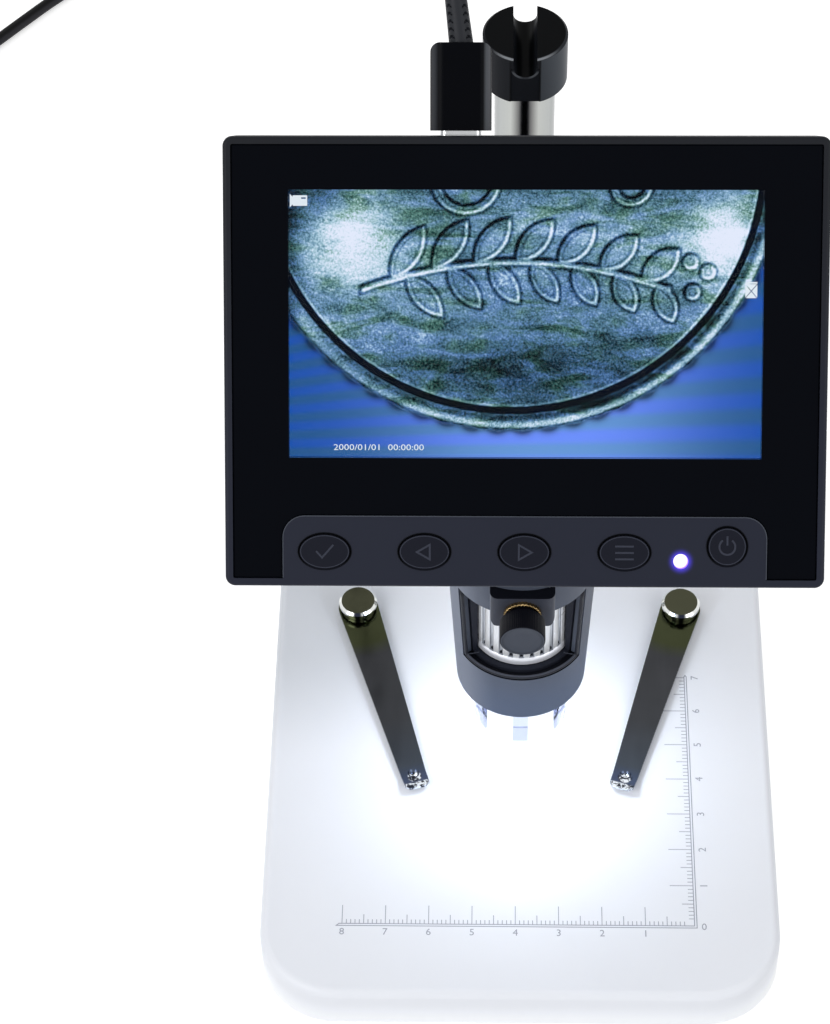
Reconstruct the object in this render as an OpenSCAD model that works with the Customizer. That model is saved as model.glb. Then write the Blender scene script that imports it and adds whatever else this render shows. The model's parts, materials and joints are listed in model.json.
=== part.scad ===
// Digital microscope with a tilted screen, held by an arm on a post stand.
// Millimetres, +Z up. The origin is the middle of the base, on the plane the feet rest on.
// +X is the user's right and +Y points to the back, away from the user.

/* [Base] */
// Width of the base
base_w = 120; // [112:1:150]
// Depth of the base
base_d = 160; // [156:1:190]
// Height of the base shell
base_h = 12; // [11:0.5:16]
// Corner radius of the base seen from above
base_corner_r = 18; // [12:1:24]
// Radius of the soft top edge of the base
base_edge_r = 2; // [1:0.5:3]
// Wall of the base shell
base_wall = 2.4; // [1.8:0.2:3]
// Thickness of the steel plate that closes the base
plate_t = 1.5; // [1:0.25:2]
// How far the plate is set up into the shell
plate_recess = 0.4; // [0.3:0.1:0.8]
// How far the feet stand out below the shell
foot_drop = 1; // [0.8:0.1:2]
// Diameter of a rubber foot
foot_d = 12; // [8:1:14]
// Distance of the feet and base screws from the edges of the base
foot_inset = 13; // [12:1:18]

/* [Stage clips] */
// Distance of each clip stud from the side of the base
clip_inset = 20; // [16:1:24]
// Place of the clip studs towards the back
clip_y = 29.5; // [24:0.5:34]
// Length of a clip from its stud to its tip
clip_len = 56.5; // [50:0.5:62]
// Width of a clip at its stud
clip_w = 9.8; // [9.2:0.2:11]
// Width of a clip at its tip
clip_tip_w = 5.8; // [5:0.2:7]
// Thickness of the clip strip
clip_t = 0.8; // [0.6:0.1:1]
// Angle at which the clips close in towards the front
clip_angle = 16.5; // [10:0.5:20]
// Level run of a clip before it bends down
clip_flat = 13; // [11:1:18]
// Diameter of a stud's shank
stud_d = 5; // [4:0.5:5.5]
// Diameter of a stud's head
stud_head_d = 9.4; // [8.6:0.2:11]

/* [Post] */
// Diameter of the post
post_d = 13; // [12:0.5:15]
// Wall of the post
post_wall = 1; // [0.8:0.1:1.5]
// Length of the post above the base plate
post_len = 178; // [170:1:220]
// Place of the post towards the back
post_y = 49; // [46:1:54]
// Diameter of the post's cap
cap_d = 18; // [17:0.5:20]
// Depth of the rest channel across the top of the cap
channel_depth = 5.2; // [4.8:0.1:6]
// Width of the rest channel
channel_w = 5; // [4.8:0.1:6]

/* [Holder] */
// Distance of the optical axis in front of the middle of the base
axis_forward = 16; // [14:0.5:18]
// Outer radius of the sleeve at its lower end
sleeve_r0 = 14.7; // [14.5:0.1:16]
// Outer radius of the sleeve at its upper end
sleeve_r1 = 17.4; // [17:0.1:18.5]
// Height of the sleeve
sleeve_h = 60; // [58:1:66]
// Wall of the sleeve
sleeve_wall = 2.2; // [1.8:0.1:2.3]
// Half angle of the finger window in the sleeve
window_half = 58; // [52:1:62]
// Height of the lower edge of the window above the sleeve's lower end
window_rise = 14.9; // [14.5:0.1:16]
// Height of the finger window
window_h = 25.1; // [22:0.1:26]
// Width of the arm between sleeve and post
arm_w = 13; // [11:0.5:15]
// Height of the arm
arm_h = 20; // [18:1:22]
// Outer radius of the clamp ring round the post
clamp_r = 11.5; // [10.5:0.5:12.5]
// Height of the clamp ring
clamp_h = 26; // [24:1:28]
// Diameter of a thumb-screw's knob
knob_d = 9.8; // [9:0.2:11]
// Length of a thumb-screw's knob
knob_len = 5.3; // [5:0.1:7]
// Diameter of a thumb-screw's rod
rod_d = 5; // [4:0.5:5.5]

/* [Screen head] */
// Width of the screen housing
head_w = 121.2; // [119:0.2:130]
// Height of the screen housing along its face
head_h = 90.7; // [90:0.1:100]
// Depth of the screen housing
head_depth = 15.6; // [15.2:0.1:18]
// Corner radius of the screen housing
head_corner_r = 2; // [1.5:0.1:3]
// Wall of the screen housing
head_wall = 1.8; // [1.5:0.1:2]
// Width of the raised rim round the glass
rim_w = 1.6; // [1.2:0.1:2]
// Height of the rim and the key panel above the glass
rim_h = 0.4; // [0.2:0.1:0.6]
// Thickness of the cover glass
glass_t = 1; // [0.8:0.1:1.2]
// Width of the lit area of the screen
lcd_w = 95.04; // [90:0.01:97]
// Height of the lit area of the screen
lcd_h = 53.86; // [50:0.01:54]
// Height of the screen's centre above the base
screen_rise = 156.7; // [155:0.1:175]
// Tilt of the screen from level
screen_tilt = 47; // [44:0.5:50]
// Width of the key panel below the glass
panel_w = 97.7; // [96:0.1:104]
// Height of the key panel's upper edge above the housing's lower edge
panel_h = 14.4; // [13.8:0.1:16]
// Pitch of the keys
key_pitch = 20.2; // [19:0.1:21]
// Width of an oval key
key_w = 10.1; // [9:0.1:11]
// Height of an oval key
key_h = 6.9; // [6:0.1:7.2]
// Diameter of the power key
power_d = 7.6; // [6.8:0.1:8]
// Travel of a key
key_travel = 0.3; // [0.2:0.05:0.4]

/* [Optics] */
// Gap between the clear hood and the top of the base
stage_gap = 20; // [16:1:26]
// Length of the clear hood
hood_len = 19; // [16:1:22]
// Outer radius of the hood at its lower end
hood_r = 11; // [10.5:0.1:12]
// Wall of the clear hood
hood_wall = 1.4; // [1:0.1:1.6]
// Outer radius of the focus wheel
wheel_r = 11.5; // [11:0.1:11.6]
// Number of ribs round the focus wheel
wheel_ribs = 30; // [24:1:60]
// Travel of the lens each way from its rest place
focus_travel = 3; // [2:0.5:3.3]
// Number of light emitters round the lens
led_count = 8; // [6:1:10]

/* [Cable] */
// Diameter of the cable
cord_d = 3.5; // [3.2:0.1:4]
// Radius of the coil, at the middle of its turns
coil_r = 18; // [17.5:0.25:20]
// Length of the strain relief at the screen's plug
relief_len = 16; // [14:1:20]

/* [Hidden] */
$fn = 64;

// Clearances and small common sizes
fit = 0.05;          // between parts that sit in each other
slide_fit = 0.08;    // between parts that slide or turn on each other
touch_gap = 0.2;     // between a loose part and what it rests against
cut = 1;             // how far a cutting body reaches past a face
screw_r = 1.5;
small_screw_r = 1;
screw_head_h = 1.1;
small_head_h = 1.1;
small_head_r = 1.9;
boss_wall = 2.2;

// Heights of the base
base_top = foot_drop + base_h;
ceiling_z = base_top - base_wall;
plate_z0 = foot_drop + plate_recess;
plate_z1 = plate_z0 + plate_t;
foot_x = base_w / 2 - foot_inset;
foot_y = base_d / 2 - foot_inset;
screw_spread = 15;   // from each foot to its screw, along the side of the base
screw_depth = 7;
corners = [[1, 1], [-1, 1], [-1, -1], [1, -1]];

// Post and cap
post_r = post_d / 2;
post_bore = post_r - post_wall;
post_z1 = plate_z1 + post_len;
cap_r = cap_d / 2;
cap_roof = 1.3;
cap_top = post_z1 + cap_roof + channel_depth;
cap_h = 12;
cap_bevel = 0.5;
groove_w = 6.1;
groove_depth = 0.7;
bolt_r = 2.5;
bolt_head_r = 4.2;
plug_h = 14;

// Clips: the strip lies on a spacer and is held down by the stud's shoulder
clip_x = base_w / 2 - clip_inset;
spacer_h = 1.2;
spacer_r = 4;
strip_z0 = base_top + spacer_h + fit;
strip_z1 = strip_z0 + clip_t;
shoulder_r = 4.1;
shoulder_h = 1.2;
stud_head_h = 1.6;
stud_bevel = 0.6;
stud_r = stud_d / 2;
nut_h = 3;
nut_r = 4.6;
stud_tail = ceiling_z - nut_h - 0.5;
dimple_r = 1.8;
dimple_drop = 0.6;   // how far the dimple stands out below the strip
tip_back = 4.5;      // from the dimple to the tip of the strip
tip_lift = 1.5;      // how far the tip turns up
strip_low = base_top + touch_gap + dimple_drop;

// Optical axis and the heights of what stands on it
axis_y = -axis_forward;
hood_z0 = base_top + stage_gap;
barrel_z0 = hood_z0 + hood_len;
sleeve_z0 = barrel_z0 + 0.5;
sleeve_z1 = sleeve_z0 + sleeve_h;
sleeve_slope = (sleeve_r1 - sleeve_r0) / sleeve_h;
function sleeve_r(z) = sleeve_r0 + (z - sleeve_z0) * sleeve_slope;
barrel_fit = 0.15;
function barrel_r(z) = sleeve_r(z) - sleeve_wall - barrel_fit;
window_z0 = sleeve_z0 + window_rise;
window_z1 = window_z0 + window_h;

// Holder: arm, clamp ring and the two screw bosses
arm_drop = 4;                             // from the sleeve's upper edge down to the arm
arm_z1 = sleeve_z1 - arm_drop;
arm_z0 = arm_z1 - arm_h;
clamp_z0 = arm_z0 - (clamp_h - arm_h) / 2;
arm_recess = 3.5;
arm_rib = 3;
boss_w = 14;
boss_h = 10;
boss_z = window_z1 + boss_h / 2 - 0.5;
boss_edge_r = 1.7;
boss_low_r = 2.2;
front_reach = sleeve_r(boss_z) + 2.5;     // from the optical axis to the front boss's face
rear_reach = clamp_r + 3.5;               // from the post's axis to the rear boss's face
rear_z = clamp_z0 + clamp_h / 2;
insert_r = 3.7;
insert_in = 0.3;                          // how far an insert stops short inside its boss
rod_r = rod_d / 2;
rod_gap = 0.2;
neck_gap = 0.3;
neck_len = 2.3;                           // from the boss's face to the back of the knob
knob_neck_r = 2.95;
knob_bevel = 0.4;
rod_in_knob = 3.5;

// Screen head: local x to the right, y up the face, z out of the glass, zero on the glass
lcd_y = axis_y - 2.3;
lcd_z = base_top + screen_rise;
lcd_up = 7.8;                             // centre of the lit area above the housing's centre
head_low = -head_h / 2 - lcd_up;
head_high = head_h / 2 - lcd_up;
split_w = -4;                             // plane where the two halves of the housing meet
back_w = rim_h - head_depth;
inner_back_w = back_w + head_wall;
ledge_t = 1.2;
ledge_w = -glass_t - ledge_t;
rear_edge_r = head_corner_r - 0.3;
front_edge_r = 0.8;
panel_top = head_low + panel_h;
panel_r = 4.4;
glass_fit = 0.1;
opening_margin = 1.5;                     // lit area to the opening in the bezel
module_margin = 5.2;                      // lit area to the side of the screen module
module_low = 10;                          // lit area to the lower edge of the screen module
module_high = 3;
panel_glass_t = 1.4;
backlight_t = 1.5;
module_w1 = ledge_w - 0.1;
module_w0 = module_w1 - panel_glass_t;
frame_w0 = module_w0 - backlight_t;
board_t = 1.2;
board_w1 = inner_back_w + 5.4;
board_w0 = board_w1 - board_t;
board_half = 46;
board_low = -33;
board_high = head_high - head_wall - 0.5;
board_corner_r = 2;
pillar_r = 2.5;
head_screw_u = head_w / 2 - head_wall - pillar_r - 0.2;
head_screw_v = [head_high - head_wall - pillar_r - 0.2, head_low + head_wall + pillar_r + 0.2];
head_pillar_w = inner_back_w + 1.3;       // where the bezel's pillars meet the cover's
board_screw_u = board_half - 4;
board_screw_v = [board_high - 5, board_low + 4];
battery_size = [60, 26, 3.6];
battery_v = 21;
plinth_w = 44;                            // raised plinth under the neck, on the housing's back
plinth_h = 56;
plinth_t = 2.5;
plinth_v = -13;
plinth_r = 20;
neck_z0 = sleeve_z1 + 2.5;
neck_r = 16.4;
neck_bore_r = 13.6;
neck_pillar_ring = 11.4;
neck_pillar_r = 2.3;
neck_pillar_h = 9;
barrel_head_r = 1.6;                      // head of a screw between barrel and neck
head_room_r = neck_pillar_ring + barrel_head_r + 0.3;
head_room_h = 3;

// Keys
key_row_v = head_low + 7.2;
key_u = [-2 * key_pitch, -key_pitch, 0, key_pitch];
power_u = 40.9;
power_v = head_low + 8.5;
led_u = 31.6;
led_v = head_low + 5.4;
led_r = 1.5;
key_play = 0.12;
key_proud = 0.5;
key_flange = 0.8;
key_flange_t = 0.8;
key_sides = 40;
key_flange_w = ledge_w - 0.1;
switch_gap = key_travel + 0.05;
plunger_h = 0.6;
plunger_r = 1;
switch_h = 1.8;
switch_size = [6, 3.6];
key_stem_w = key_flange_w - key_flange_t;
key_board_w1 = key_stem_w - switch_gap - plunger_h - switch_h;
key_board_h = 11.4;
key_board_half = 47;
key_board_v = head_low + head_wall + 0.4 + key_board_h / 2;
key_post = [[-1.5 * key_pitch, key_row_v + 3], [led_u - 1.8, key_row_v + 3.3]];

// Optics inside the barrel
led_board_z = barrel_z0 + 7;
led_board_t = 1.2;
led_board_r = 10.9;
led_ring_r = 8.9;
led_body_r = 1.4;
led_body_h = 1.2;
nose_r = 6.6;
nose_hole_r = nose_r + 0.4;
lower_bore_r = led_board_r + 0.1;
shelf_r = 9.9;
lens_tube_r = 9.25;
wheel_z0 = window_z0 + 0.8;
wheel_len = window_h + 0.7;
wheel_rim_h = 2.3;
wheel_rim_out = 0.15;
rib_depth = 0.5;
wheel_bore_r = wheel_r + wheel_rim_out + 0.25;
wheel_play = 0.3;
upper_bore_r = 12.2;
shelf_t = 2.7;
lens_nose_z = barrel_z0 + 5;
lens_step_z = lens_nose_z + 9.5;
lens_top_z = wheel_z0 + wheel_len - 4;
lens_bore_r = 5.4;
front_lens_r = 6;
front_lens_h = 2.4;
rear_lens_r = 7.6;
rear_lens_h = 3;
sensor_rise = 9.8;                        // from the focus wheel's top up to the sensor board
sensor_z = wheel_z0 + wheel_len + sensor_rise;
sensor_ribbon_w = 8;
lcd_ribbon_w = 20;
ribbon_t = 0.3;
sensor_board_r = 11.9;
sensor_chip = [9, 9, 1.6];
cable_hole_r = 8;
hood_top_r = 12.95;
spigot_h = 4;
hood_ribs = 6;
hood_rib_w = 3.4;
hood_rib_len = 9.5;
barrel_window_half = window_half - 3;
barrel_ledge = 0.9;                       // how far the barrel's window is smaller than the sleeve's

// Cable: plug at the screen, route, coil and far plug
usb_u = -13.1;
usb_w = -6.4;
socket_size = [8.9, 7.1, 3.2];
usb_shell = [8.25, 2.4];
usb_shell_in = 5.6;
plug_gap = 1;                             // bare metal between plug and housing
plug_size = [12.35, 17.5, 6.6];
plug_side_r = 2.8;
plug_top_r = 2;
relief_r0 = 2.35;
relief_r1 = 2;
relief_lean = 7;
plug_v0 = head_high + plug_gap;
plug_v1 = plug_v0 + plug_size[1];
function head_pt(p) = [
    p[0],
    lcd_y + p[1] * cos(screen_tilt) - p[2] * sin(screen_tilt),
    lcd_z + p[1] * sin(screen_tilt) + p[2] * cos(screen_tilt)
];
cord_r = cord_d / 2;
cord_exit = head_pt([
    usb_u - relief_len * sin(relief_lean), plug_v1 + relief_len * cos(relief_lean), usb_w
]);
coil_at = [-183, 251.5];
coil_run_r = coil_r + cord_r;             // middle of the outermost turn
coil_outer = coil_r + cord_d;
coil_in_angle = -40;                      // where the cable runs onto the coil
coil_in = coil_at + coil_run_r * [cos(coil_in_angle), sin(coil_in_angle)];
relief_dir = [
    -sin(relief_lean), cos(relief_lean) * cos(screen_tilt), cos(relief_lean) * sin(screen_tilt)
];
cord_start = cord_exit + 0.03 * relief_dir;
route = [
    cord_start,
    cord_start + 10 * relief_dir,
    [-20, 60, 234],
    [-26, 84, 239],
    [-34, 112, 231],
    [-43, 140, 209],
    [-52, 168, 175],
    [-61, 196, 132],
    [-70, 222, 86],
    [-79, 246, 46],
    [-89, 266, 18],
    [-99, 280, 4.5],
    [-110, 287, cord_r],
    [-121, 287, cord_r],
    [-131, 281, cord_r],
    [-140.5, 271.5, cord_r],
    [-148, 262.7, cord_r],
    [-155, 254.2, cord_r],
    [coil_in[0], coil_in[1], cord_r]
];
tie_w = 5;
tie_t = 0.5;
tie_angle = 250;
a_body = [15.6, 24, 8];
tail_len = sqrt(pow(coil_outer, 2) - pow(coil_run_r - a_body[0] / 2, 2)) + 0.4;
a_shell = [12, 12, 4.5];
a_body_r = 2.5;

// ---------- common shapes ----------

// Rectangle with round corners, centred
module rrect(w, d, r) {
    square([w - 2 * r, d], center = true);
    square([w, d - 2 * r], center = true);
    for (s = corners) translate([s[0] * (w / 2 - r), s[1] * (d / 2 - r)]) circle(r);
}

module plate(w, d, h, r) {
    linear_extrude(h) rrect(w, d, r);
}

// Section from the middle to one side, with its upper outer corner rounded
module edge_section(half, h, r) {
    square([half - r, h]);
    square([half, h - r]);
    translate([half - r, h - r]) intersection() {
        circle(r);
        square(r);
    }
}

module full_section(half, h, r) {
    edge_section(half, h, r);
    mirror([1, 0]) edge_section(half, h, r);
}

// Slab with round corners and a rounded upper edge
module soft_slab(w, d, h, corner, edge) {
    for (s = corners) {
        translate([s[0] * (w / 2 - corner), s[1] * (d / 2 - corner), 0])
            rotate_extrude() edge_section(corner, h, edge);
    }
    rotate([90, 0, 0]) linear_extrude(d - 2 * corner, center = true)
        full_section(w / 2, h, edge);
    rotate([90, 0, 90]) linear_extrude(w - 2 * corner, center = true)
        full_section(d / 2, h, edge);
}

module ring(r_out, r_in, h) {
    difference() {
        cylinder(h = h, r = r_out);
        translate([0, 0, -cut]) cylinder(h = h + 2 * cut, r = r_in);
    }
}

// Screw with its head below zero and its shank above
module screw(r, len, head_r, head_h) {
    cylinder(h = len, r = r);
    translate([0, 0, -head_h]) cylinder(h = head_h, r = head_r);
}

// Wedge that opens to the front from the axis, with radial sides
module front_wedge(half, reach, h) {
    linear_extrude(h)
        polygon([[0, 0], [-reach * tan(half), -reach], [reach * tan(half), -reach]]);
}

// Oval drawn with many short sides
module oval(w, h) {
    polygon([for (i = [0:key_sides - 1])
        [w / 2 * cos(360 * i / key_sides), h / 2 * sin(360 * i / key_sides)]]);
}

module on_head() {
    translate([0, lcd_y, lcd_z]) rotate([screen_tilt, 0, 0]) children();
}

module on_axis(z) {
    translate([0, axis_y, z]) children();
}

// Front screw: z runs out of the boss towards the user, zero on the boss's face
module at_front_boss() {
    translate([0, axis_y - front_reach, boss_z]) rotate([90, 0, 0]) children();
}

// Rear screw: z runs out of the boss towards the back
module at_rear_boss() {
    translate([0, post_y + rear_reach, rear_z]) rotate([-90, 0, 0]) children();
}

// ---------- stand ----------

module at_base_screws() {
    for (s = corners) translate([s[0] * foot_x, s[1] * (foot_y - screw_spread), 0]) children();
}

module at_studs() {
    for (s = [-1, 1]) translate([s * clip_x, clip_y, 0]) children();
}

module base_shell() {
    color("white") difference() {
        union() {
            difference() {
                translate([0, 0, foot_drop])
                    soft_slab(base_w, base_d, base_h, base_corner_r, base_edge_r);
                translate([0, 0, foot_drop - cut])
                    plate(base_w - 2 * base_wall, base_d - 2 * base_wall,
                        base_h - base_wall + cut, base_corner_r - base_wall);
            }
            at_base_screws() translate([0, 0, plate_z1])
                cylinder(h = ceiling_z - plate_z1 + fit, r = screw_r + boss_wall);
            at_studs() translate([0, 0, ceiling_z - fit]) ring(stud_r + boss_wall + 3, nut_r + 1, fit * 2);
            translate([0, post_y, plate_z1])
                cylinder(h = ceiling_z - plate_z1 + fit, r = post_r + boss_wall);
        }
        at_base_screws() translate([0, 0, plate_z1 - cut])
            cylinder(h = screw_depth + cut, r = screw_r + fit);
        at_studs() cylinder(h = base_top + cut, r = stud_r + fit);
        translate([0, post_y, -cut]) cylinder(h = base_top + 2 * cut, r = post_r + fit);
    }
}

module base_plate() {
    color("gray") difference() {
        translate([0, 0, plate_z0])
            plate(base_w - 2 * base_wall - 4 * fit, base_d - 2 * base_wall - 4 * fit,
                plate_t, base_corner_r - base_wall);
        at_base_screws() cylinder(h = base_top, r = screw_r + 2 * fit);
        translate([0, post_y, 0]) cylinder(h = base_top, r = bolt_r + 2 * fit);
    }
}

module rubber_feet() {
    color("dimgray") for (s = corners)
        translate([s[0] * foot_x, s[1] * foot_y, 0]) cylinder(h = plate_z0, r = foot_d / 2);
}

module base_screws() {
    color("silver") at_base_screws() translate([0, 0, plate_z0])
        screw(screw_r, screw_depth, 2 * screw_r, screw_head_h);
}

module post() {
    color("silver") translate([0, post_y, plate_z1]) ring(post_r, post_bore, post_len);
}

module post_plug() {
    color("gray") translate([0, post_y, plate_z1])
        ring(post_bore - fit, bolt_r + fit, plug_h);
}

module post_bolt() {
    color("silver") translate([0, post_y, plate_z0])
        screw(bolt_r, plug_h, bolt_head_r, screw_head_h);
}

module post_cap() {
    floor_z = cap_top - channel_depth;
    color("black") difference() {
        translate([0, post_y, cap_top - cap_h]) rotate_extrude() polygon([
            [0, 0], [cap_r, 0], [cap_r, cap_h - cap_bevel], [cap_r - cap_bevel, cap_h], [0, cap_h]
        ]);
        translate([0, post_y, cap_top - cap_h - cut])
            cylinder(h = cap_h - channel_depth - cap_roof + cut, r = post_r + fit);
        translate([0, post_y, floor_z + channel_w / 2]) rotate([90, 0, 0])
            cylinder(h = cap_d + cut, r = channel_w / 2, center = true);
        translate([-channel_w / 2, post_y - cap_r - cut, floor_z + channel_w / 2])
            cube([channel_w, cap_d + 2 * cut, channel_depth]);
        translate([-groove_w / 2, post_y - cap_r - cut, cap_top - cap_h - cut])
            cube([groove_w, groove_depth + cut, cap_h - channel_depth + channel_w / 2 + cut]);
    }
}

module clip_outline() {
    circle(clip_w / 2);
    polygon([
        [-clip_w / 2, 0], [-clip_tip_w / 2, -clip_len + 1], [-clip_tip_w / 2 + 1, -clip_len],
        [clip_tip_w / 2 - 1, -clip_len], [clip_tip_w / 2, -clip_len + 1], [clip_w / 2, 0]
    ]);
}

// Level at the stud, down to the dimple, and turned up at the tip
module clip_side() {
    dimple_at = clip_len - tip_back;
    line = [
        [clip_w, strip_z0], [-clip_flat, strip_z0], [-dimple_at, strip_low],
        [-clip_len - cut, strip_low + tip_lift]
    ];
    polygon(concat(line, [for (i = [len(line) - 1:-1:0]) line[i] + [0, clip_t]]));
}

module clip() {
    dimple_z = strip_low - dimple_drop + dimple_r;
    difference() {
        union() {
            intersection() {
                linear_extrude(base_top * 2) clip_outline();
                rotate([90, 0, 90]) linear_extrude(2 * clip_w, center = true) clip_side();
            }
            translate([0, tip_back - clip_len, dimple_z]) intersection() {
                sphere(dimple_r);
                translate([0, 0, -dimple_r]) cube(2 * dimple_r, center = true);
            }
        }
        cylinder(h = base_top * 2, r = stud_r + slide_fit);
        translate([0, tip_back - clip_len, dimple_z + clip_t]) sphere(dimple_r - clip_t / 4);
    }
}

module clip_left() {
    color("silver") translate([-clip_x, clip_y, 0]) rotate([0, 0, clip_angle]) clip();
}

module clip_right() {
    color("silver") translate([clip_x, clip_y, 0]) rotate([0, 0, -clip_angle]) clip();
}

module clip_studs() {
    shoulder_z = strip_z1 + 2 * fit;
    head_z = shoulder_z + shoulder_h;
    head_r = stud_head_d / 2;
    color("silver") at_studs() rotate_extrude() polygon([
        [0, stud_tail], [stud_r, stud_tail], [stud_r, shoulder_z], [shoulder_r, shoulder_z],
        [shoulder_r, head_z], [head_r - stud_bevel / 2, head_z], [head_r, head_z + stud_bevel / 2],
        [head_r, head_z + stud_head_h - stud_bevel],
        [head_r - stud_bevel, head_z + stud_head_h], [0, head_z + stud_head_h]
    ]);
}

module clip_spacers() {
    color("silver") at_studs() translate([0, 0, base_top]) ring(spacer_r, stud_r + fit, spacer_h);
}

module clip_nuts() {
    color("silver") at_studs() translate([0, 0, ceiling_z - nut_h]) difference() {
        cylinder(h = nut_h, r = nut_r, $fn = 6);
        translate([0, 0, -cut]) cylinder(h = nut_h + 2 * cut, r = stud_r + fit);
    }
}

// ---------- holder and its thumb-screws ----------

module front_boss() {
    depth = front_reach - sleeve_r(boss_z) + sleeve_wall * 1.5;
    translate([0, axis_y - front_reach, boss_z]) intersection() {
        rotate([-90, 0, 0]) linear_extrude(depth) boss_front();
        translate([0, 0, -boss_h]) linear_extrude(2 * boss_h) boss_top(depth);
    }
}

// Outline from the front: round lower corners, as local y points down
module boss_front() {
    square_h = boss_h - boss_low_r;
    translate([-boss_w / 2, -boss_h / 2]) square([boss_w, square_h]);
    translate([-boss_w / 2 + boss_low_r, -boss_h / 2]) square([boss_w - 2 * boss_low_r, boss_h]);
    for (s = [-1, 1])
        translate([s * (boss_w / 2 - boss_low_r), boss_h / 2 - boss_low_r]) circle(boss_low_r);
}

// Outline from above: round front corners
module boss_top(depth) {
    translate([-boss_w / 2, boss_edge_r]) square([boss_w, depth]);
    translate([-boss_w / 2 + boss_edge_r, 0]) square([boss_w - 2 * boss_edge_r, depth]);
    for (s = [-1, 1])
        translate([s * (boss_w / 2 - boss_edge_r), boss_edge_r]) circle(boss_edge_r);
}

module rear_boss() {
    depth = rear_reach - post_r - slide_fit - cut;
    translate([0, post_y + rear_reach, rear_z]) mirror([0, 1, 0]) intersection() {
        rotate([-90, 0, 0]) linear_extrude(depth) boss_front();
        translate([0, 0, -boss_h]) linear_extrude(2 * boss_h) boss_top(depth);
    }
}

module holder() {
    recess_y0 = axis_y + sleeve_r1 + 3;
    recess_y1 = post_y - clamp_r - 2;
    color("dimgray") difference() {
        union() {
            on_axis(sleeve_z0) cylinder(h = sleeve_h, r1 = sleeve_r0, r2 = sleeve_r1);
            translate([-arm_w / 2, axis_y, arm_z0]) cube([arm_w, post_y - axis_y, arm_h]);
            translate([0, post_y, clamp_z0]) cylinder(h = clamp_h, r = clamp_r);
            front_boss();
            rear_boss();
        }
        on_axis(sleeve_z0 - cut) cylinder(
            h = sleeve_h + 2 * cut,
            r1 = sleeve_r(sleeve_z0 - cut) - sleeve_wall, r2 = sleeve_r(sleeve_z1 + cut) - sleeve_wall);
        on_axis(window_z0) front_wedge(window_half, sleeve_r1 + 2 * cut, window_h);
        translate([0, post_y, clamp_z0 - cut])
            cylinder(h = clamp_h + 2 * cut, r = post_r + slide_fit);
        for (s = [-1, 1]) translate([s * arm_w / 2, (recess_y0 + recess_y1) / 2, (arm_z0 + arm_z1) / 2])
            cube([2 * arm_recess, recess_y1 - recess_y0, arm_h - 2 * arm_rib], center = true);
        at_front_boss() translate([0, 0, -2 * sleeve_wall - front_reach + sleeve_r(boss_z)])
            cylinder(h = 3 * sleeve_wall + front_reach, r = insert_r + fit);
        at_rear_boss() translate([0, 0, post_r - rear_reach])
            cylinder(h = rear_reach, r = insert_r + fit);
    }
}

front_insert_len = front_reach - sleeve_r(boss_z) + sleeve_wall - insert_in;
rear_insert_len = rear_reach - post_r - slide_fit - insert_in;

module insert(len) {
    color("goldenrod") translate([0, 0, -len]) ring(insert_r, rod_r + fit, len);
}

module front_insert() {
    at_front_boss() insert(front_insert_len);
}

module rear_insert() {
    at_rear_boss() insert(rear_insert_len);
}

// Rod from its tip, just off what it presses on, into the knob
module rod(reach) {
    color("dimgray") translate([0, 0, -reach])
        cylinder(h = reach + neck_len + rod_in_knob, r = rod_r);
}

module knob() {
    r = knob_d / 2;
    top = neck_len + knob_len;
    color("black") rotate_extrude() polygon([
        [rod_r + fit, neck_gap], [knob_neck_r, neck_gap], [knob_neck_r, neck_len],
        [r - knob_bevel, neck_len], [r, neck_len + knob_bevel], [r, top - knob_bevel],
        [r - knob_bevel, top], [0, top], [0, neck_len + rod_in_knob + fit],
        [rod_r + fit, neck_len + rod_in_knob + fit]
    ]);
}

module front_screw_rod() {
    at_front_boss() rod(front_reach - barrel_r(boss_z) - rod_gap);
}

module front_screw_knob() {
    at_front_boss() knob();
}

module rear_screw_rod() {
    at_rear_boss() rod(rear_reach - post_r - rod_gap);
}

module rear_screw_knob() {
    at_rear_boss() knob();
}

// ---------- screen head ----------

module at_head_screws() {
    for (su = [-1, 1], v = head_screw_v) translate([su * head_screw_u, v, 0]) children();
}

module at_board_screws() {
    for (su = [-1, 1], v = board_screw_v) translate([su * board_screw_u, v, 0]) children();
}

module head_outline(inset) {
    translate([0, -lcd_up])
        rrect(head_w - 2 * inset, head_h - 2 * inset, max(head_corner_r - inset, 0.4));
}

// Key panel seen from the front, with round upper corners
module panel_outline(gap) {
    w = panel_w + 2 * gap;
    r = panel_r + gap;
    translate([-w / 2, head_low - cut]) square([w, panel_h + gap - r + cut]);
    translate([-w / 2 + r, head_low - cut]) square([w - 2 * r, panel_h + gap + cut]);
    for (s = [-1, 1]) translate([s * (w / 2 - r), panel_top + gap - r]) circle(r);
}

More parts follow.
